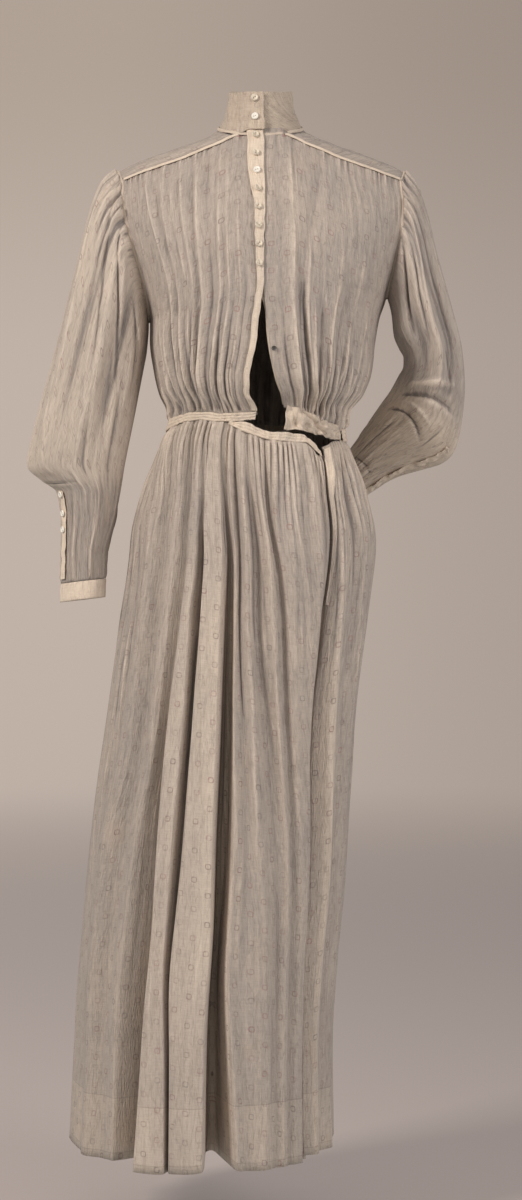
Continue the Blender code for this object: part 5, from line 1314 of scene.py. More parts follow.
def drawn_folds(table, u, v, width, tighter=0.0):
    """Ridges and troughs placed one by one: u across, v down, width the cloth's size across in metres."""
    total = np.zeros_like(u)
    for number, (u_top, u_low, bend, v_from, v_to, height, half_width, lean) in enumerate(table):
        centre = u_top + (u_low - u_top) * v + bend * np.sin(math.pi * v)
        centre = centre + 0.007 * ripple(0 * v, v, 1, 0.22, 700 + number)
        away = (u - centre) * width / (half_width / 1000) * (1 + tighter * fade(v, "folds tighten"))
        away *= np.where(away * lean > 0, 1 + abs(lean), 1)
        along = eased(v, v_from - 0.02, v_from + 0.10) * (1 - eased(v, v_to - 0.06, v_to + 0.02))
        along = along * (0.80 + 0.45 * ripple(0 * v, v, 1, 0.15, 730 + number))
        form = 0.66 * np.exp(-np.abs(away) ** 1.4)
        if height > 0:
            crest = 0.30 * np.exp(-(away / 0.30) ** 2)
            form = form + (crest - 0.25 * np.exp(-((away * np.sign(lean) - 0.85) / 0.35) ** 2))
        total += height / 1000 * form * along
    return total


def drawn_creases(table, x, y):
    """Curved creases given one by one: start, middle and end in metres, height and half width in mm."""
    total = np.zeros_like(x)
    t = np.linspace(0, 1, CREASE_STEPS)
    for start_x, start_y, middle_x, middle_y, end_x, end_y, height, half_width in table:
        curve_x = (1 - t) ** 2 * start_x + 2 * t * (1 - t) * middle_x + t**2 * end_x
        curve_y = (1 - t) ** 2 * start_y + 2 * t * (1 - t) * middle_y + t**2 * end_y
        nearest = np.full(x.shape, np.inf)
        place = np.zeros_like(x)
        for k in range(CREASE_STEPS - 1):
            step_x, step_y = curve_x[k + 1] - curve_x[k], curve_y[k + 1] - curve_y[k]
            share = ((x - curve_x[k]) * step_x + (y - curve_y[k]) * step_y) / (step_x**2 + step_y**2)
            share = np.clip(share, 0, 1)
            away = np.hypot(x - curve_x[k] - share * step_x, y - curve_y[k] - share * step_y)
            place = np.where(away < nearest, (k + share) / (CREASE_STEPS - 1), place)
            nearest = np.minimum(nearest, away)
        swell = np.sin(math.pi * np.clip(place, 0.02, 0.98)) ** 0.6
        total += height / 1000 * np.exp(-(nearest / (half_width / 1000)) ** 2) * swell
    return total


# Finishes

def put(tree, kind, *inputs, **settings):
    """A shader node with its settings, its inputs linked or set in turn."""
    made = tree.nodes.new(kind)
    for name, value in settings.items():
        setattr(made, name, value)
    for place, value in enumerate(inputs):
        fill(tree, made.inputs[place], value)
    return made


def fill(tree, socket, value):
    """Links a socket to another one, or sets it."""
    if isinstance(value, bpy.types.NodeSocket):
        tree.links.new(value, socket)
    elif value is not None:
        socket.default_value = value


def fill_named(tree, node, values):
    """Links or sets the inputs of a node by their names."""
    for name, value in values.items():
        fill(tree, node.inputs[name], value)


def calc(tree, operation, first, *others):
    """The result of a Math operation on one value, or on several in turn."""
    for other in others or (None,):
        first = put(tree, "ShaderNodeMath", first, other, operation=operation).outputs[0]
    return first


def mixed(tree, factor, first, second, kind="MIX"):
    """The colour of a Mix node."""
    made = tree.nodes.new("ShaderNodeMix")
    made.data_type = "RGBA"
    made.blend_type = kind
    for place, value in ((0, factor), (6, first), (7, second)):
        fill(tree, made.inputs[place], value)
    return made.outputs[2]


def ranged(tree, value, *limits):
    """A value brought from one range to another, clamped and soft."""
    return put(tree, "ShaderNodeMapRange", value, *limits, interpolation_type="SMOOTHSTEP").outputs[0]


def answer(tree, value, name, share=1.0):
    """How the shading answers to a value, by the table of answers."""
    low, high, to_low, to_high = ANSWERS[name]
    return ranged(tree, value, low, high, to_low * share, to_high * share)


def attribute(tree, name):
    """A value kept at the mesh's points."""
    return put(tree, "ShaderNodeAttribute", attribute_name=name).outputs["Fac"]


def cloth_noise(tree, place, name):
    """Noise in the named patches on the cloth's own plane."""
    width, length, detail, offset = PATCHES[name]
    for vector, operation in (((1 / width, 1 / length, 1.0), "MULTIPLY"), ((offset, offset, 0.0), "ADD")):
        place = put(tree, "ShaderNodeVectorMath", place, vector, operation=operation).outputs[0]
    return put(tree, "ShaderNodeTexNoise", place, None, 1.0, detail).outputs["Fac"]


def thin_lines(tree, place, name):
    """Thin wandering lines where a soft noise crosses its middle."""
    noise = cloth_noise(tree, place, name)
    return answer(tree, calc(tree, "ABSOLUTE", calc(tree, "SUBTRACT", noise, 0.5)), name)


def print_mask(tree, place):
    """The print: small outlined rings in half-drop columns, worn unevenly."""
    parts = put(tree, "ShaderNodeSeparateXYZ", place).outputs
    across = calc(tree, "DIVIDE", parts[0], PRINT_ACROSS)
    number = calc(tree, "FLOOR", across)
    half_drop = calc(tree, "FRACT", calc(tree, "MULTIPLY", number, 0.5))
    down = calc(tree, "ADD", calc(tree, "DIVIDE", parts[1], PRINT_DOWN), half_drop)
    away = []
    for run, pitch in ((across, PRINT_ACROSS), (down, PRINT_DOWN)):
        centred = calc(tree, "SUBTRACT", calc(tree, "FRACT", run), 0.5)
        away.append(calc(tree, "ABSOLUTE", calc(tree, "MULTIPLY", centred, pitch)))
    squares = [calc(tree, "MULTIPLY", part, part) for part in away]
    round_part = calc(tree, "SQRT", calc(tree, "ADD", *squares))
    square_part = calc(tree, "MULTIPLY", calc(tree, "MAXIMUM", *away), PRINT_SQUARENESS)
    radius = calc(tree, "MULTIPLY", calc(tree, "ADD", round_part, square_part), 0.5)
    line = calc(tree, "ABSOLUTE", calc(tree, "SUBTRACT", radius, PRINT_RADIUS))
    ring = answer(tree, line, "print ring")
    worn = answer(tree, cloth_noise(tree, place, "wear"), "wear")
    cell = put(tree, "ShaderNodeCombineXYZ", number, calc(tree, "FLOOR", down)).outputs[0]
    chance = put(tree, "ShaderNodeTexWhiteNoise", cell).outputs["Value"]
    strength = calc(tree, "ADD", calc(tree, "MULTIPLY", chance, PRINT_STRENGTH[0]), PRINT_STRENGTH[1])
    return calc(tree, "MULTIPLY", ring, worn, strength), cell


def new_material(name):
    """A new material, its nodes and its main shader."""
    made = bpy.data.materials.new(name)
    made.use_nodes = True
    return made, made.node_tree, made.node_tree.nodes["Principled BSDF"]


def bumped(tree, height, strength, depth):
    """The surface's direction on a relief."""
    bump = put(tree, "ShaderNodeBump")
    fill_named(tree, bump, {"Strength": strength, "Distance": depth, "Height": height})
    return bump.outputs["Normal"]


def cloth_relief(tree, place, strength, parts):
    """Height of the cloth's relief: crinkles, fine lines, slubs and the weave."""
    waves = [put(tree, "ShaderNodeTexWave", place, 1 / WEAVE_PITCH / 2, 1.5, 2.0, 1.0, bands_direction=way)
             for way in "XY"]
    shown = {name: calc(tree, "MULTIPLY", part, RELIEF[name]) for name, part in parts.items()
             if name != "crinkles"}
    threads = calc(tree, "ADD", *[wave.outputs["Fac"] for wave in waves])
    threads = calc(tree, "MULTIPLY", threads, RELIEF["threads"])
    lines = calc(tree, "SUBTRACT", shown["crest lines"], shown["groove lines"])
    lines = calc(tree, "ADD", lines, calc(tree, "MULTIPLY", parts["crinkles"], strength, RELIEF["crinkles"]))
    return calc(tree, "ADD", shown["fine"], lines, threads, shown["slub"])


def cloth_material(name, crest, flat, hollow, crinkle, printed):
    """Crinkled cotton: painted highlight on ridges and painted shade in troughs over its flat colour, cream
    where doubled and where painted light is laid on, its crinkles with painted highlight and shade, and its
    print.
    """
    made, tree, shader = new_material(name)
    place = put(tree, "ShaderNodeUVMap", uv_map="cloth").outputs[0]
    parts = {patch: cloth_noise(tree, place, patch) for patch in ("fine", "slub", "crinkles")}
    parts.update({patch: thin_lines(tree, place, patch) for patch in ("crest lines", "groove lines")})
    relief, from_hem = attribute(tree, "hollow"), attribute(tree, "hem")
    strength = answer(tree, from_hem, "near hem")
    hems = calc(tree, "ADD", answer(tree, from_hem, "turned hem"), answer(tree, from_hem, "rolled hem"))
    # Cream where the cloth is doubled, and where painted light lightens ridges, gaps and sleeves
    colour = mixed(tree, calc(tree, "ADD", attribute(tree, "doubled_and_painted_light"), hems), flat, CREAM)
    # Painted highlight on ridges and painted shade in troughs, read from the hollow attribute
    for answered, tone in (("crest", crest), ("hollow", hollow)):
        colour = mixed(tree, answer(tree, relief, answered), colour, tone)
    # Crinkles painted lighter where raised and darker where sunk: painted highlight and shade
    for answered, tone in (("raised", crest), ("sunk", hollow)):
        share = calc(tree, "MULTIPLY", answer(tree, parts["crinkles"], answered, crinkle), strength)
        colour = mixed(tree, share, colour, tone)
    # Crest lines as painted highlight, groove lines as painted shade
    share = calc(tree, "MULTIPLY", parts["crest lines"], CREST_LINE_SHARE * crinkle)
    colour = mixed(tree, share, colour, crest)
    share = calc(tree, "MULTIPLY", parts["groove lines"], GROOVE_LINE_SHARE * crinkle)
    colour = mixed(tree, share, colour, LINE_DARK, "MULTIPLY")
    for height_up, half in HEM_STITCHES:
        away = calc(tree, "ABSOLUTE", calc(tree, "SUBTRACT", from_hem, height_up))
        stitches = ranged(tree, away, 0.2 * half, half, STITCH_SHARE, 0.0)
        colour = mixed(tree, stitches, colour, LINE_DARK, "MULTIPLY")
    speckle = calc(tree, "ADD", *[calc(tree, "MULTIPLY", parts[patch], 0.5) for patch in ("fine", "slub")])
    speckle = mixed(tree, answer(tree, speckle, "speckle"), LINE_DARK, WHITE)
    colour = mixed(tree, SPECKLE_SHARE * crinkle, colour, speckle, "MULTIPLY")
    broad = answer(tree, cloth_noise(tree, place, "broad"), "broad")
    colour = mixed(tree, 1.0, colour, mixed(tree, broad, BROAD_DARK, WHITE), "MULTIPLY")
    colour = mixed(tree, answer(tree, cloth_noise(tree, place, "stains"), "stains"), colour, STAIN)
    if printed:
        mask, cell = print_mask(tree, place)
        mask = calc(tree, "MULTIPLY", mask, attribute(tree, "print"), printed)
        tint = put(tree, "ShaderNodeTexWhiteNoise", cell).outputs["Color"]
        tint = put(tree, "ShaderNodeSeparateColor", tint).outputs[1]
        colour = mixed(tree, mask, colour, mixed(tree, tint, PRINT_GREY, PRINT_PINK))
    height = cloth_relief(tree, place, strength, parts)
    fill_named(tree, shader, {"Base Color": colour, "Roughness": answer(tree, parts["slub"], "slub"),
                              "Normal": bumped(tree, height, 1.0, RELIEF_DEPTH * crinkle), **CLOTH_GLOSS})
    return made


def plain_material(name, colour, roughness, mottle, bump_height, scale):
    """Thread, pearl and the like: a plain finish with small unevenness."""
    made, tree, shader = new_material(name)
    place = put(tree, "ShaderNodeTexCoord").outputs["Object"]
    noise = put(tree, "ShaderNodeTexNoise", place, None, scale, 3.0).outputs["Fac"]
    shade = tuple(channel * (1 - mottle) for channel in colour[:3]) + (1,)
    fill_named(tree, shader, {"Base Color": mixed(tree, answer(tree, noise, "mottle"), shade, colour),
                              "Roughness": roughness, "Normal": bumped(tree, noise, PLAIN_BUMP, bump_height)})
    return made


# Making the pieces

def cloth(name, points, finish, hollow=0.0, doubled_and_painted_light=0.0, pattern=1.0, flat=None, closed=False,
          thickness=CLOTH, hem=1.0):
    """A thin shell through a fine grid of points, with its cloth plane in metres as UV map."""
    rows, columns = points.shape[:2]
    kept = columns - 1 if closed else columns
    mesh = bpy.data.meshes.new(name)
    j, i = np.mgrid[0:rows - 1, 0:columns - 1]
    corners = [(j, i), (j + 1, i), (j + 1, i + 1), (j, i + 1)]
    faces = np.stack([row * kept + place % kept for row, place in corners], axis=-1).reshape(-1, 4)
    mesh.from_pydata(points[:, :kept].reshape(-1, 3).tolist(), [], faces.tolist())
    if flat is None:
        flat = np.stack([run_across(points), run_down(points)], axis=-1)
    places = np.stack([flat[row, place] for row, place in corners], axis=2).reshape(-1)
    mesh.uv_layers.new(name="cloth").data.foreach_set("uv", places.astype(np.float32))
    # hollow sets painted shade in troughs and painted highlight on ridges; the doubled attribute carries
    # doubled cloth and painted light
    for label, values in (("hollow", hollow), ("doubled_and_painted_light", doubled_and_painted_light), ("print", pattern), ("hem", hem)):
        values = np.broadcast_to(np.asarray(values, np.float32), (rows, columns))[:, :kept]
        layer = mesh.attributes.new(label, "FLOAT", "POINT")
        layer.data.foreach_set("value", np.ascontiguousarray(values).reshape(-1))
    mesh.shade_smooth()
    mesh.materials.append(finish)
    made = bpy.data.objects.new(name, mesh)
    bpy.context.scene.collection.objects.link(made)
    wall = made.modifiers.new("wall", "SOLIDIFY")
    wall.thickness = thickness
    wall.offset = 0
    wall.use_even_offset = False
    return made


def dress_piece(made, slot, *nodes):
    """Fastens a piece to the dress and hides the solids it stands for."""
    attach(made, "root")
    if nodes:
        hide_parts(*nodes)
    return made


def ribbon(name, path, out, width, crown, finish, seed, closed=False, doubled_and_painted_light=1.0):
    """A narrow strip of folded cloth along a path, crowned and a little uneven."""
    along = np.gradient(path, axis=0)
    if closed:
        along[0] = along[-1] = path[1] - path[-2]
    along /= np.linalg.norm(along, axis=1, keepdims=True)
    across = np.cross(along, out)
    across /= np.linalg.norm(across, axis=1, keepdims=True)
    run = run_across(path[None])[0]
    share = np.array(RIBBON_SHARES)[:, None]
    widths = width / 2 * (1 + uneven("ribbon width", run, share * 3, seed))
    arch = crown * (1 - share**2)
    heights = arch + uneven("ribbon", run, share, seed)
    sway = uneven("ribbon sway", run, 0 * run, seed)
    if closed:
        kept = fade(np.minimum(run, run[-1] - run), "ribbon ends")
        widths = width / 2 + (widths - width / 2) * kept
        heights = arch + (heights - arch) * kept
        sway = sway * kept
    points = path + across * (share * widths + sway)[..., None] + out * heights[..., None]
    flat = np.stack([share * width / 2 + 0 * run, 0 * share + run], axis=-1)
    return cloth(name, points, finish, doubled_and_painted_light=doubled_and_painted_light, pattern=0.0, flat=flat)


def grain_across(side, points, v):
    """How far across its cloth each point of a front lies, on grain lines straight from yoke to waist."""
    front_x, outer_x = bodice_edges(side, points[..., 2])
    share = (points[..., 0] - front_x) / (outer_x - front_x)
    s = spread(GRAIN_STEPS)
    reach = math.radians(TOP_REACH)
    top, low = np.sin(s * reach) / math.sin(reach), np.sin(s * math.pi / 2)
    downs = np.clip(v[:, 0], 0, 1)
    return np.stack([np.interp(row, top * (1 - down) + low * down, s) for row, down in zip(share, downs)])


def make_bodice_front(side_name, folds):
    """A bodice front with its drawn folds and its gathers at yoke and waist."""
    name = f"bodice_front_{side_name}_cloth"
    side, seed = SIDES[side_name], PIECES[name][2]
    u, v = grid(spread(FRONT_CELLS[0]), np.concatenate([spread(FRONT_CELLS[1]), UNDER_BAND]))
    base = bodice_front(side, u, v)
    across, down = run_across(base), run_down(base)
    width = across[:, -1:]
    s = grain_across(side, base, v)
    x = s * across[len(across) // 3, -1]
    up = np.maximum(down[FRONT_CELLS[1] - 1] - down, 0)
    drawn = drawn_folds(folds, s, v, width, FOLD_TIGHTER)
    drawn *= FOLD_SHARES[0] + FOLD_SHARES[1] * fade(v, "folds grow")
    drawn = np.where(drawn < 0, TROUGH_SHARE * drawn, drawn)
    # Ridges painted lighter: painted highlight, carried by the doubled attribute
    layers = RIDGE_PAINTED_HIGHLIGHT * np.clip(drawn / RIDGE_HEIGHT, 0, 1)
    if side > 0:
        place, bright_ridge_width = LEFT_RIDGE_HIGHLIGHT
        bright_ridge = np.exp(-((s - place) * width / bright_ridge_width) ** 2)
        layers = layers + RIDGE_PAINTED_HIGHLIGHT * bright_ridge * fade(v, "below seam")
    offset = drawn + gathers(x, down, *GATHERS["front at yoke"], seed)
    offset += gathers(x, up, *GATHERS[f"{side_name} front at waist"], seed + 50)
    offset += creases(x, down, *CREASES["front"], seed + 80)
    offset += uneven("front", x, down, seed) * fade(down, "below yoke") * fade(up, "above band")
    offset *= fade(u, "front edge") * (1 - fade(u, "front side"))
    points = moved_out(base, -side * (offset - UNDER_DEPTH * eased(v, 1.0, UNDER_BAND[-1])), level=True)
    under_collar = 1 - fade(u[0], "under collar")
    for axis, move in zip((1, 2), UNDER_COLLAR_MOVE):
        points[0, :, axis] += move * under_collar
    flat = np.stack([x, down], axis=-1)
    # Painted shade in the hollows, stronger lower down
    hollow = hollow_of(offset) * (HOLLOW_SHARES[0] + HOLLOW_SHARES[1] * fade(v, "hollows deepen"))
    return cloth(name, points, VOILE, np.clip(hollow, -1, 1), layers, 1 - fade(up, "front print"), flat=flat)


def make_bodice_back():
    """The back, gathered into yoke and waist."""
    name = "bodice_back_cloth"
    seed = PIECES[name][2]
    u, v = grid(spread(BACK_CELLS[0]), np.concatenate([spread(BACK_CELLS[1]), UNDER_BAND]))
    base = bodice_back(u, v)
    across, down = run_across(base), run_down(base)
    middle = across[len(across) // 3][None, :]
    up = np.maximum(down[BACK_CELLS[1] - 1] - down, 0)
    offset = drawn_folds(BACK_FOLDS, u, v, across[:, -1:])
    offset += gathers(middle, down, *GATHERS["back at yoke"], seed)
    offset += gathers(middle, up, *GATHERS["back at waist"], seed + 50)
    offset += creases(middle, down, *CREASES["back"], seed + 80)
    offset += uneven("back", middle, down, seed) * fade(down, "below yoke") * fade(up, "above band")
    offset *= fade(np.minimum(u, 1 - u), "side edges")
    points = moved_out(base, offset - UNDER_DEPTH * eased(v, 1.0, UNDER_BAND[-1]), level=True)
    flat = np.stack([middle + 0 * u, down], axis=-1)
    return cloth(name, points, VOILE, hollow_of(offset), pattern=1 - fade(up, "back print"), flat=flat)


def make_yoke():
    """The yoke, puffed over the shoulders and crinkled across its width."""
    name = "yoke_cloth"
    us, vs = spread(YOKE_CELLS[0]), spread(YOKE_CELLS[1])
    base = yoke_grid(us, vs)
    middle, down = run_across(base)[-1:], run_down(base)
    offset = uneven("yoke", middle, down, PIECES[name][2])
    offset *= fade(np.minimum(down, down[-1:] - down), "yoke edges")
    t = 1 - np.abs(2 * us - 1)
    offset *= (YOKE_CRINKLES[0] + YOKE_CRINKLES[1] * fade(t, "yoke crinkles"))[None, :]
    puff = fade(t, "puff begins") * (1 - fade(t, "puff ends"))
    offset += YOKE_PUFF * puff[None, :] * np.sin(math.pi * np.clip(down / down[-1:], 0, 1)) ** 0.5
    normal = normals(base)
    outwards = np.sign((normal * (base - np.array(YOKE_INSIDE))).sum(axis=2, keepdims=True))
    points = base + normal * outwards * offset[..., None]
    # Painted shade in the yoke's troughs, shifted darker all over
    hollow = hollow_of(offset, 3, 4) * YOKE_PAINTED_SHADE[0] + YOKE_PAINTED_SHADE[1]
    return cloth(name, points, VOILE, hollow, doubled_and_painted_light=0.05)


def make_collar():
    """The stand collar, doubled, with its creases and its wavy lapped end."""
    name = "collar_cloth"
    seed = PIECES[name][2]
    u, v = grid(spread(COLLAR_CELLS[0]), spread(COLLAR_CELLS[1]))
    base = collar_surface(u, v)
    across, down = run_across(base)[0][None, :] + 0 * u, run_down(base)
    offset = uneven("collar", across, down, seed) + drawn_creases(COLLAR_CREASES, across, down)
    offset *= fade(down, "collar top") * (1 - 0.7 * fade(v, "collar base"))
    points = moved_out(base, -offset)
    points[..., 0] += (1 - fade(across, "collar end")) * uneven("collar end", down, down, seed)
    points[..., 2] += uneven("collar top", across, v, seed) * (1 - v)
    hollow = hollow_of(offset, 3, 5)
    return cloth(name, points, COLLAR, hollow, doubled_and_painted_light=0.2, pattern=0.6, thickness=STIFF_CLOTH)


def make_placket(name, points):
    """A doubled front strip with its stitched edges."""
    seed = PIECES[name][2]
    across, down = run_across(points), run_down(points)
    share = across / across[:, -1:]
    edge = (np.minimum(share, 1 - share) - STITCH_PLACE[0]) / STITCH_PLACE[1]
    offset = uneven("front strip", across, down, seed) - STITCH_DEPTH * np.exp(-edge ** 2)
    points = moved_out(points, -offset)
    points[..., 0] += uneven("front strip sway", down, down, seed)
    points[0] += STRIP_TOP_MOVE
    hollow = 0.7 * hollow_of(offset, 2, 2)
    return cloth(name, points, DOUBLED, hollow, doubled_and_painted_light=1.0, pattern=0.0, thickness=DOUBLED_CLOTH)


def make_band(name, table, cells, cords=3, crush=0.0, drawn=()):
    """A band with its rows of cording, crushed into small upright wrinkles."""
    seed = PIECES[name][2]
    base = band_grid(table, spread(cells[0]), spread(cells[1]), BAND_REACH)
    across, down = run_across(base), run_down(base)
    share = down / np.maximum(down[-1:], 1e-6)
    offset = CORD_HEIGHT * np.abs(np.sin(math.pi * cords * share)) ** 0.7
    offset += uneven("band", across, down, seed) + crush * uneven("band crush", across, down, seed)
    offset += drawn_creases(drawn, across, down)
    points = moved_out(base, -offset)
    points[..., 2] += uneven("band sway", across, down, seed)
    finish = COLLAR if cords == 1 else DOUBLED
    hollow = np.clip(1.4 * hollow_of(offset, 1, 3), -1, 1)
    return cloth(name, points, finish, hollow, doubled_and_painted_light=0.75, pattern=0.0, thickness=DOUBLED_CLOTH)


def cloth_across(points, columns):
    """Distance across the skirt's cloth: true on each ridge, and what differs is taken up in the troughs."""
    count, _, _ = skirt_tracks()
    ridges = [place for place, row in zip(count, SKIRT_FOLDS) if any(word in row[0] for word in RIDGE_WORDS)]
    places = [columns[0]] + [place for place in ridges if columns[0] < place < columns[-1]] + [columns[-1]]
    run = run_across(points)
    reached = np.stack([np.interp(places, columns, row) for row in run])
    width = np.percentile(np.diff(reached, axis=1), 80, axis=0)
    start = np.concatenate([[0], np.cumsum(width)])
    total = np.zeros_like(run)
    for k, (first, last) in enumerate(zip(places, places[1:])):
        inside = (columns >= first) & (columns <= last)
        troughs = [(sum(row[3]), place) for place, row in zip(count, SKIRT_FOLDS) if first < place < last]
        lowest = min(troughs)[1] if troughs else (first + last) / 2
        half = 0.8 * min(lowest - first, last - lowest, 0.3 * (last - first))
        share = eased(columns[inside], lowest - half, lowest + half)
        near = start[k] + run[:, inside] - reached[:, k:k + 1]
        far = start[k + 1] + run[:, inside] - reached[:, k + 1:k + 2]
        total[:, inside] = near + (far - near) * share
    return total


def skirt_gathers(waist, down, local, seed):
    """The gathers under the skirt's band and the softer drape below them."""
    reach = GATHER_REACH
    for share, size, step in GATHER_REACHES:
        reach = reach * (1 + share * ripple(waist, 0, size, 1, seed + step))
    height = GATHER_HEIGHT * (1 + uneven("gather height", waist, down, seed))
    phase = 2 * math.pi * (waist / GATHER_PITCH + uneven("gather phase", waist, down, seed))
    wave = 2 * np.abs(np.cos(phase / 2)) ** 0.8 - 1
    gather = np.minimum(height, GATHER_STEEP * GATHER_PITCH * local) * wave * np.exp(-(down / reach) ** 1.3)
    gather *= 0.25 + 0.75 * fade(down, "skirt gathers")
    phase = 2 * math.pi * (waist / (DRAPE_PITCH * GATHER_PITCH) + uneven("drape phase", waist, down, seed))
    drape = DRAPE_HEIGHT * np.sin(phase) * np.exp(-(down / DRAPE_REACH) ** 2)
    return gather + drape * fade(down, "drape") * np.minimum(local, 1)


def skirt_surface(left_part, columns, vs):
    """Points of a skirt panel with its folds and gathers, their height over its form and its cloth plane."""
    seed = PIECES["skirt_front_cloth"][2]
    count, angles, offsets = skirt_tracks()
    top_z = skirt_top(smooth(count, angles[:, 0], columns), left_part)
    v = np.asarray(vs, float)[:, None]
    z = top_z[None, :] + (HEM_HEIGHT - top_z[None, :]) * v
    angle, fold = [fold_field(values, columns, z) for values in (angles, offsets)]
    wide = waist_ring(np.radians(angle), z, fold)
    across = cloth_across(wide, columns)
    pitch = np.gradient(run_across(wide), axis=1)
    waist = run_across(wide)[np.argmin(np.abs(v))][None, :]
    local = pitch / np.maximum(np.gradient(waist, axis=1), 1e-6)
    down = np.maximum(top_z[None, :] - z, 0)
    soft = creases(across, down, *CREASES["skirt"], seed + 10) * (1 - 0.5 * fade(down, "soft folds end"))
    soft += uneven("skirt", across, down, seed)
    room = fade(np.abs(pitch) / np.gradient(columns)[None, :], "room")
    fine = skirt_gathers(waist, down, local, seed) + soft * fade(down, "soft folds") * room
    ends = fade(np.minimum(columns - columns[0], columns[-1] - columns), "panel ends")[None, :]
    fine = fine * ends - UNDER_DEPTH * eased(-v, 0, -OVER_TOP[0])
    if not left_part:
        fine = fine - UNDER_LAP_DEPTH * eased(columns, opening - 2 * OPENING_SLIT, opening)[None, :]
    rise_angle, rise_width, rise_height = HEM_RISE
    raised = rise_height * np.exp(-((angle - rise_angle) / rise_width) ** 2)
    raised = (raised + uneven("hem", across, down, seed)) * fade(v, "hem")
    points = waist_ring(np.radians(angle), z + raised, fold + fine)
    return points, fold, fine, np.stack([across, down], axis=-1)


def make_skirt_panel(name, left_part, columns, vs):
    """A skirt panel with its deep doubled hem."""
    points, fold, fine, flat = skirt_surface(left_part, columns, vs)
    down = flat[..., 1]
    count = skirt_tracks()[0]
    # Painted highlight on the ridges and painted light in the deep gaps and under the band, carried by the
    # doubled attribute
    layers, gaps = [np.interp(columns, count, [table.get(row[0], 0.0) for row in SKIRT_FOLDS])[None, :]
                    for table in (FOLD_PAINTED_LIGHT, GAP_PAINTED_LIGHT)]
    layers = np.maximum(layers * (1 - 0.75 * fade(down, "painted light ends")), gaps) * fade(down, "painted light begins")
    layers = layers + BAND_PAINTED_LIGHT[0] * np.exp(-down / BAND_PAINTED_LIGHT[1])
    # Painted shade in the deep troughs and in the gathers, stronger under the band
    deep = np.clip((blurred(fold, 3, len(columns) // 14) - fold) / FOLD_DEPTH, -1, 1)
    stronger = 1 + BAND_PAINTED_SHADE[0] * np.exp(-down / BAND_PAINTED_SHADE[1])
    hollow = np.clip(SKIRT_HOLLOW * deep + hollow_of(fine, 3, 6, 3) * stronger, -1, 1)
    printed, up = 1 - fade(down, "skirt print"), down[-1:] - down
    return cloth(name, points, VOILE, hollow, layers, printed, flat=flat, hem=up)


def sleeve_surface(side):
    """Points of a sleeve with its head gathers and long folds, with their height and its cloth plane."""
    seed = PIECES[f"sleeve_{side}_cloth"][2]
    u, v = grid(spread(SLEEVE_CELLS[0]), spread(SLEEVE_CELLS[1]))
    turn = 2 * math.pi * u
    points = sleeve_ring(side, v, turn)
    joined = np.clip(1 - v / HEAD_LENGTH, 0, 1) ** 2
    points += (armhole(side, turn) - points) * joined[..., None]
    around, down = run_across(points), run_down(points)
    wide = around[len(around) // 4][None, :]
    offset = np.zeros_like(u)
    for centre, start, end, height, width in SLEEVE_FOLDS:
        away = (360 * u - centre + 180) % 360 - 180
        along = np.sin(math.pi * np.clip((v - start) / (end - start), 0, 1)) ** 0.8
        offset += height / 1000 * np.exp(-(away / width) ** 2) * along
    below_head = fade(v, "below seam")
    head = np.clip((np.cos(turn) + HEAD_GATHERED[0]) / HEAD_GATHERED[1], 0, 1)
    extra = head * gathers(wide, down, *GATHERS["sleeve head"], seed)
    extra += creases(wide, down, *CREASES["sleeve"], seed + 30) * below_head
    extra += uneven("sleeve", wide, down, seed) * below_head * (1 - fade(v, "elbow"))
    extra += creases(wide, down, *CREASES[f"{side} forearm"], seed + 33) * fade(v, "forearm")
    sizes = (SLEEVE_AROUND / 360, SLEEVE_LENGTH) * 3 + (1, 1)
    table = [[value * size for value, size in zip(row, sizes)] for row in SLEEVE_CREASES[side]]
    extra += drawn_creases(table, u * SLEEVE_AROUND, v * SLEEVE_LENGTH)
    extra *= fade(np.minimum(u, 1 - u), "side edges") * fade(v, "sleeve top") * (1 - fade(v, "sleeve end"))
    offset += extra
    return swollen(points, offset), offset, np.stack([wide + 0 * down, down], axis=-1)


def swollen(points, offset):
    """A closed tube of points moved away from its middle line."""
    outwards = points - points.mean(axis=1, keepdims=True)
    outwards /= np.maximum(np.linalg.norm(outwards, axis=2, keepdims=True), 1e-9)
    points = points + outwards * offset[..., None]
    points[:, -1] = points[:, 0]
    return points


def make_sleeve(side):
    """A sleeve, full above the elbow and fitted below."""
    points, offset, flat = sleeve_surface(side)
    # Painted shade in the sleeve's troughs, and painted light along its length
    hollow = SLEEVE_HOLLOWS[0] * hollow_of(offset) + SLEEVE_HOLLOWS[1] * hollow_of(offset, 12, 18)
    start, gain, *reach = SLEEVE_PAINTED_LIGHT[side]
    layers = start + gain * eased(spread(len(points))[:, None], *reach)
    return cloth(f"sleeve_{side}_cloth", points, VOILE, hollow, layers, flat=flat, closed=True)


def make_cuff(side):
    """A narrow doubled cuff."""
    name = f"cuff_{side}_cloth"
    us, vs = spread(CUFF_CELLS[0]), spread(CUFF_CELLS[1])
    base = cuff_grid(side, us, vs)
    across, down = run_across(base), run_down(base)
    offset = uneven("cuff", across, down, PIECES[name][2])
    half, square = CUFF_SHAPE
    offset += CUFF_CROWN * np.exp(-((down / down[-1:] - 0.5) / half) ** square)
    offset *= fade(np.minimum(us, 1 - us), "cuff edges")[None, :]
    return cloth(name, swollen(base, offset), DOUBLED, hollow_of(offset, 2, 3), doubled_and_painted_light=0.8, pattern=0.3,
                 closed=True, thickness=STIFF_CLOTH)


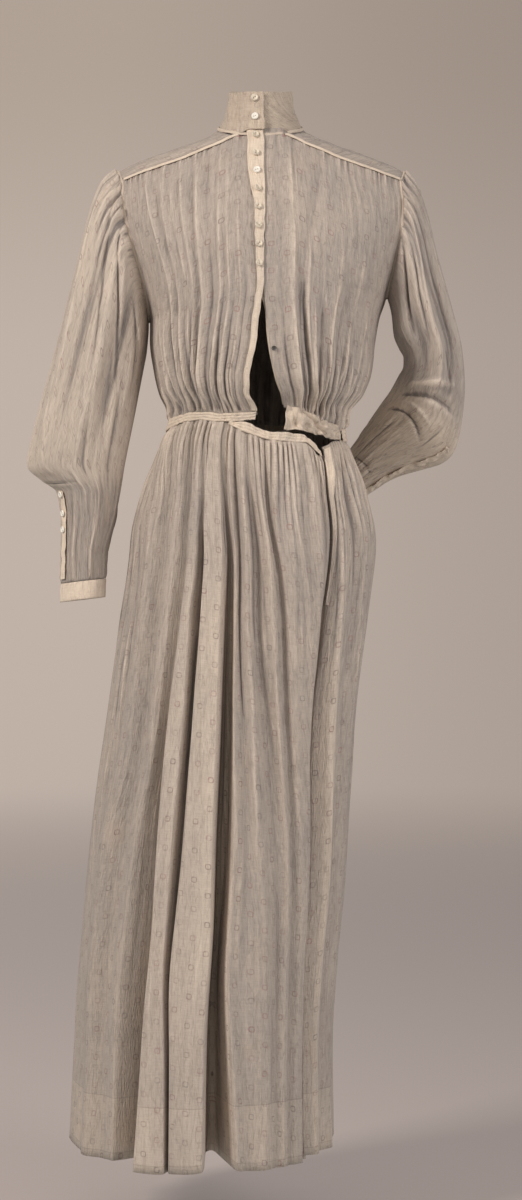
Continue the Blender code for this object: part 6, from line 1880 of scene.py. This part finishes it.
def make_sleeve_strip(side):
    """The crinkled button strip along the lower edge of a sleeve."""
    name = f"sleeve_strip_{side}_cloth"
    seed, strong = PIECES[name][2], SLEEVE_STRIP_CRUSH[side]
    start = SLEEVE_STRIPS[side][1]
    vs = start + (SLEEVE_STRIP_END - start) * spread(STRIP_CELLS[1])
    base = sleeve_strip_grid(side, spread(STRIP_CELLS[0]), vs)
    across, down = run_across(base), run_down(base)
    offset = strong * uneven("sleeve strip", across, down, seed)
    points = moved_out(base, offset)
    points += strong * uneven("sleeve strip sway", down, down, seed)[..., None] * np.array([0.6, 0, 0.6])
    hollow = hollow_of(offset, 2, 2)
    return cloth(name, points, DOUBLED, hollow, doubled_and_painted_light=1.0, pattern=0.0, thickness=DOUBLED_CLOTH)


def make_skirt_strip(columns, vs):
    """The strip at the skirt's opening, on the left panel's edge."""
    name = "skirt_strip_cloth"
    panel = skirt_surface(True, columns, vs)[0]
    edge = panel[:, 0]
    along = panel[:, -1] - edge
    facet = np.linalg.norm(along, axis=1)
    along /= facet[:, None]
    out = np.cross(along, np.gradient(edge, axis=0))
    out /= -np.linalg.norm(out, axis=1, keepdims=True)
    narrow = fade(vs, "strip narrows")
    width = np.minimum(smooth(*SKIRT_STRIP_WIDTH, vs), facet) * (1 - STRIP_NARROWER * narrow)
    share = spread(STRIP_CELLS[0])[None, :]
    reach = share * width[:, None]
    points = (edge + out * STRIP_REACH)[:, None, :] + along[:, None, :] * reach[..., None]
    offset = uneven("skirt strip", share * SKIRT_STRIP_CLOTH, run_down(points), PIECES[name][2])
    points = points + out[:, None, :] * offset[..., None]
    layers = (1 - STRIP_THINNER * narrow)[:, None]
    return cloth(name, points, VOILE, hollow_of(offset, 2, 2), layers, pattern=0.0, thickness=DOUBLED_CLOTH)


def to_mesh(work, name):
    """A mesh made from a bmesh, which is freed."""
    mesh = bpy.data.meshes.new(name)
    work.to_mesh(mesh)
    work.free()
    return mesh


def turned_button(name, radius):
    """The button's body, turned from its profile."""
    work = bmesh.new()
    turns = [2 * math.pi * k / BUTTON_SEGMENTS for k in range(BUTTON_SEGMENTS)]
    rings = [[work.verts.new((radius * share * math.cos(turn), radius * share * math.sin(turn), height))
              for turn in turns] for share, height in BUTTON_PROFILE]
    for first, second in zip(rings, rings[1:]):
        for k in range(BUTTON_SEGMENTS):
            after = (k + 1) % BUTTON_SEGMENTS
            work.faces.new((first[k], second[k], second[after], first[after]))
    work.faces.new(rings[0])
    work.faces.new(reversed(rings[-1]))
    bmesh.ops.recalc_face_normals(work, faces=work.faces)
    return to_mesh(work, name)


def button_drill(name):
    """The two holes of a button as solids."""
    work = bmesh.new()
    for place in (-1, 1):
        made = bmesh.ops.create_cone(work, cap_ends=True, segments=HOLE_SEGMENTS, radius1=BUTTON_HOLE,
                                     radius2=BUTTON_HOLE, depth=DRILL_LENGTH)
        bmesh.ops.translate(work, verts=made["verts"], vec=(place * BUTTON_HOLE_PLACE, 0, 0))
    return to_mesh(work, name)


def button_mesh(name, radius):
    """A pearl button with its rim, two holes and the thread between them."""
    whole = bpy.data.objects.new(name, turned_button(name, radius))
    drill = bpy.data.objects.new(name + "_holes", button_drill(name + "_holes"))
    for thing in (whole, drill):
        bpy.context.scene.collection.objects.link(thing)
    cut = whole.modifiers.new("holes", "BOOLEAN")
    cut.object = drill
    cut.operation = "DIFFERENCE"
    bpy.context.view_layer.update()
    drilled = bpy.data.meshes.new_from_object(whole.evaluated_get(bpy.context.evaluated_depsgraph_get()))
    drilled.name = name
    for thing in (whole, drill):
        bpy.data.objects.remove(thing, do_unlink=True)
    work = bmesh.new()
    work.from_mesh(drilled)
    first = len(work.faces)
    across, along = THREAD_SEGMENTS
    thread = bmesh.ops.create_uvsphere(work, u_segments=across, v_segments=along, radius=1)
    bmesh.ops.scale(work, vec=THREAD_SIZE, verts=thread["verts"])
    bmesh.ops.translate(work, vec=(0, 0, BUTTON_PROFILE[0][1]), verts=thread["verts"])
    for number, face in enumerate(work.faces):
        face.smooth = True
        if number >= first:
            face.material_index = 1
    work.to_mesh(drilled)
    work.free()
    drilled.materials.clear()
    for finish in (PEARL, THREAD):
        drilled.materials.append(finish)
    drilled.set_sharp_from_angle(angle=SHARP_ANGLE)
    return drilled


def place_button(name, mesh, centre, out, spin, tilt, lift):
    """A button seated on its strip, spun about its own axis and tilted a little, both in radians."""
    out = Vector(out).normalized()
    made = bpy.data.objects.new(name, mesh)
    bpy.context.scene.collection.objects.link(made)
    seated = Vector((0, 0, 1)).rotation_difference(out)
    tip = Vector((1, 0, 0)).rotation_difference(Vector((math.cos(tilt), 0, math.sin(tilt))))
    twist = Vector((1, 0, 0)).rotation_difference(Vector((math.cos(spin), math.sin(spin), 0)))
    made.rotation_mode = "QUATERNION"
    made.rotation_quaternion = seated @ tip @ twist
    made.location = Vector(centre) + out * lift
    return made


def surface_at(points, x, z):
    """The point of a grid nearest to x and z seen from the front, and the way it faces there."""
    away = np.hypot(points[..., 0] - x, points[..., 2] - z)
    place = np.unravel_index(np.argmin(away), away.shape)
    normal = normals(points)[place]
    return points[place], normal * (-1 if normal[1] > 0 else 1)


def make_front_buttons():
    """The ten buttons of collar and strip, and the small one on the left front edge."""
    bright = button_mesh("button_pearl", BUTTON_RADIUS)
    shaded = bright.copy()
    shaded.materials[0] = SHADED_PEARL
    strip = placket_right_grid(spread(9), spread(300))
    collar_end = collar_surface(*grid(np.linspace(0, 0.15, 40), spread(60)))
    for number, (tilt, spin) in enumerate(BUTTON_TILTS):
        z = FIRST_BUTTON_HEIGHT - BUTTON_PITCH * number
        x = FIRST_BUTTON_X + BUTTON_DRIFT * number
        centre, out = surface_at(collar_end if number < COLLAR_BUTTONS else strip, x, z)
        # Buttons tilted more than that take the darker pearl: painted shade
        mesh = bright if abs(tilt) < BRIGHT_TILT else shaded
        tilt, spin = math.radians(tilt), math.radians(spin)
        lift = BUTTON_LIFT + BUTTON_RADIUS * abs(math.sin(tilt)) * TILT_LIFT
        made = place_button(f"pearl_button_{number + 1}", mesh, centre, out, spin, tilt, lift)
        dress_piece(made, "pearl", f"button_front_{number + 1}")
    small = button_mesh("button_small", INNER_BUTTON_RADIUS)
    small.materials[0] = DARK_PEARL
    x, z = INNER_BUTTON
    across, height = grid([x + BESIDE, x, x - BESIDE], [z + BESIDE, z, z - BESIDE])
    around = np.stack([across, body_front(1, across, height), height], axis=-1)
    out = normals(around)[1, 1]
    made = place_button("pearl_button_inner", small, around[1, 1], out, INNER_SPIN, SMALL_TILT, BUTTON_LIFT)
    dress_piece(made, "pearl", "button_inner")


def make_sleeve_buttons():
    """The three buttons of the right sleeve's strip."""
    mesh = button_mesh("button_sleeve_pearl", SLEEVE_BUTTON_RADIUS)
    us, step = BESIDE_STRIP
    for number, v in enumerate(SLEEVE_BUTTON_ROWS):
        around = sleeve_strip_grid("right", us, (v - step, v, v + step))
        out = normals(around)[1, 1]
        out = out * np.sign(-out[0])
        made = place_button(f"sleeve_button_{number + 1}", mesh, around[1, 1], out, SLEEVE_SPIN * number,
                            SMALL_TILT, BUTTON_LIFT)
        dress_piece(made, "pearl", f"button_sleeve_{number + 1}")


def unit(vectors):
    """Vectors of a list brought to length 1."""
    return vectors / np.linalg.norm(vectors, axis=1, keepdims=True)


def yoke_piping_path(side_name, count):
    """A front yoke seam and the way its strip faces."""
    x = np.linspace(*YOKE_PIPING_SPAN, count)
    y, z = [column(FRONT_TOP, place, x) + shift for place, shift in zip((1, 2), YOKE_PIPING_SHIFT)]
    path = np.stack([SIDES[side_name] * x, y, z], axis=-1)
    return path, np.broadcast_to(np.array(YOKE_PIPING_FACE), path.shape)


def armhole_path(side_name, count):
    """An armhole's seam and the way its strip faces."""
    path = armhole(side_name, np.linspace(0, 2 * math.pi, count))
    path[:, 0] -= SIDES[side_name] * ARMHOLE_GAP / 2
    out = path - path.mean(axis=0)
    out[:, 0] = 0
    return path, unit(out)


def collar_path(count):
    """The seam at the collar's base and the way its strip faces."""
    angle = np.radians(np.linspace(*COLLAR_SEAM_SPAN, count))
    path = neck_point(angle, np.zeros_like(angle))
    path[:, 2] -= COLLAR_SEAM_DROP
    return path, unit(np.stack([np.sin(angle), -np.cos(angle), 0.5 + 0 * angle], axis=-1))


def back_piping_path(count):
    """The back yoke seam and the way its strip faces."""
    u = np.linspace(0.002, 0.998, count)
    path = bodice_back(u, np.zeros_like(u))
    path[:, 2] += SEAM_GAP
    return path, normals(bodice_back(*grid(u, (0, 0.03))))[0]


def make_seam_strip(kind, route, side_name=""):
    """A narrow cream strip on a seam."""
    count, away, width, crown, seed, doubled_and_painted_light, length = SEAM_STRIPS[kind]
    path, out = route(side_name, count) if side_name else route(count)
    name = f"{kind}_{side_name}" if side_name else kind
    seed += SIDES.get(side_name, 0)
    closed = kind == "armhole_seam"
    made = ribbon(name, path + out * away, out, width, crown, TRIM, seed, closed, doubled_and_painted_light)
    dress_piece(made, "doubled_cloth")
    return made, length


VOILE, DOUBLED, COLLAR, TRIM = [cloth_material(name, *look) for name, look in CLOTH_LOOKS.items()]
PEARL, SHADED_PEARL, DARK_PEARL, THREAD = [plain_material(name, *look) for name, look in PLAIN_LOOKS.items()]

gather_count = skirt_tracks()[0]
opening = int(gather_count[[row[0] for row in SKIRT_FOLDS].index(OPENING_FOLD)])
left_start = opening + OPENING_SLIT
front_columns = np.linspace(SIDE_SLIT, opening + UNDER_LAP, SKIRT_FRONT_CELLS[0])
back_columns = np.linspace(left_start, gather_count[-1] - SIDE_SLIT, SKIRT_BACK_CELLS[0])
front_rows, back_rows = [np.concatenate([OVER_TOP, spread(cells[1]) ** ROW_CROWDING])
                         for cells in (SKIRT_FRONT_CELLS, SKIRT_BACK_CELLS)]
strip_columns = left_start + spread(SKIRT_STRIP_CELLS[0])
strip_rows = SKIRT_STRIP_END * spread(SKIRT_STRIP_CELLS[1])
right_strip = placket_right_grid(*[spread(count) for count in PLACKET_RIGHT_CELLS])
left_strip = placket_left_grid(*[spread(count) for count in PLACKET_LEFT_CELLS])
cloths = [
    make_bodice_front("right", FRONT_FOLDS_RIGHT),
    make_bodice_front("left", FRONT_FOLDS_LEFT),
    make_bodice_back(),
    make_yoke(),
    make_collar(),
    make_placket("front_strip_right_cloth", right_strip),
    make_placket("front_strip_left_cloth", left_strip),
    make_band("waistband_cloth", WAISTBAND, BAND_CELLS, drawn=BAND_END_CREASES),
    make_band("left_band_cloth", BAND_FRONT_LEFT, LEFT_BAND_CELLS, 1, 3.2, LEFT_BAND_CREASES),
    make_band("skirt_band_cloth", SKIRT_BAND, SKIRT_BAND_CELLS, 3, 1.2),
    make_skirt_panel("skirt_front_cloth", False, front_columns, front_rows),
    make_skirt_panel("skirt_back_cloth", True, back_columns, back_rows),
    make_skirt_strip(strip_columns, strip_rows),
]
cloths += [make(side) for make in (make_sleeve, make_cuff, make_sleeve_strip) for side in SIDES]
seams = [make_seam_strip(kind, route, side) for side in SIDES
         for kind, route in (("yoke_piping", yoke_piping_path), ("armhole_seam", armhole_path))]
seams += [make_seam_strip("collar_seam", collar_path), make_seam_strip("yoke_piping_back", back_piping_path)]
for piece in cloths:
    slot, node = PIECES[piece.name][:2]
    dress_piece(piece, slot, node)
make_front_buttons()
make_sleeve_buttons()


# Stage, light and camera

def stage_material():
    """Pale studio paper with painted light and shade: darker to one side, high up and on the floor towards
    the middle, and a painted glow.
    """
    made, tree, shader = new_material("studio paper")
    place = put(tree, "ShaderNodeTexCoord").outputs["Object"]
    parts = put(tree, "ShaderNodeSeparateXYZ", place).outputs
    colour = mixed(tree, ranged(tree, parts[0], *STAGE_SIDES, 0.0, 1.0), STAGE_LEFT, STAGE_RIGHT)
    reach = calc(tree, "ADD", *[calc(tree, "MULTIPLY", parts[axis], parts[axis]) for axis in (0, 1)])
    low = ranged(tree, reach, *STAGE_LOW_REACH, 0.0, 1.0)
    high = ranged(tree, parts[2], *STAGE_HIGH_RANGE, 0.0, 1.0)
    colour = mixed(tree, low, colour, mixed(tree, 1.0, colour, STAGE_LOW, "MULTIPLY"))
    colour = mixed(tree, high, colour, mixed(tree, 1.0, colour, STAGE_HIGH, "MULTIPLY"))
    # Emission: painted glow
    fill_named(tree, shader, {"Base Color": colour, "Emission Color": colour, "Emission Strength": STAGE_PAINTED_GLOW,
                              **STAGE_GLOSS})
    return made


def make_stage():
    """A pale floor that rises into a round backdrop on every side."""
    work = bmesh.new()
    profile = [(0.0, 0.0), (STAGE_FLAT / 2, 0.0), (STAGE_FLAT, 0.0)]
    for k in range(1, STAGE_STEPS + 1):
        turn = math.pi / 2 * k / STAGE_STEPS
        profile.append((STAGE_FLAT + STAGE_CURVE * math.sin(turn), STAGE_CURVE * (1 - math.cos(turn))))
    profile.append((STAGE_FLAT + STAGE_CURVE, STAGE_HEIGHT))
    verts = [work.verts.new((reach, 0, height + FLOOR)) for reach, height in profile]
    edges = [work.edges.new(pair) for pair in zip(verts, verts[1:])]
    bmesh.ops.spin(work, geom=verts + edges, cent=(0, 0, 0), axis=(0, 0, 1), angle=2 * math.pi,
                   steps=STAGE_TURNS, use_merge=True)
    bmesh.ops.remove_doubles(work, verts=work.verts, dist=1e-5)
    mesh = bpy.data.meshes.new("studio_floor")
    work.to_mesh(mesh)
    work.free()
    mesh.shade_smooth()
    mesh.materials.append(stage_material())
    made = bpy.data.objects.new("studio_floor", mesh)
    bpy.context.scene.collection.objects.link(made)
    made.visible_shadow = False
    made.visible_diffuse = False
    made.visible_glossy = False


def make_light(name, place, target, size, power, colour):
    """A soft square lamp aimed at a point."""
    lamp = bpy.data.lights.new(name, "AREA")
    lamp.shape = "RECTANGLE"
    lamp.size, lamp.size_y = size
    lamp.energy = power
    lamp.color = colour
    made = bpy.data.objects.new(name, lamp)
    made.location = place
    made.rotation_euler = (Vector(target) - Vector(place)).to_track_quat("-Z", "Y").to_euler()
    bpy.context.scene.collection.objects.link(made)


def make_camera():
    """The camera at the photo's place, level and square to the front."""
    lens = bpy.data.cameras.new("camera")
    lens.sensor_width = SENSOR_WIDTH
    lens.lens = lens.sensor_width * CAMERA_DISTANCE / VIEW_HEIGHT
    lens.clip_end = 100
    made = bpy.data.objects.new("camera", lens)
    made.location = (VIEW_CENTRE[0], -CAMERA_DISTANCE, VIEW_CENTRE[1])
    made.rotation_euler = (math.pi / 2, 0, 0)
    bpy.context.scene.collection.objects.link(made)
    bpy.context.scene.camera = made


make_stage()
for lamp in LAMPS:
    make_light(*lamp)
make_camera()
world = bpy.data.worlds.new("studio")
bpy.context.scene.world = world
world.use_nodes = True
world.node_tree.nodes["Background"].inputs["Color"].default_value = WORLD_COLOUR
world.node_tree.nodes["Background"].inputs["Strength"].default_value = WORLD_STRENGTH
bpy.context.scene.view_settings.view_transform = "Standard"
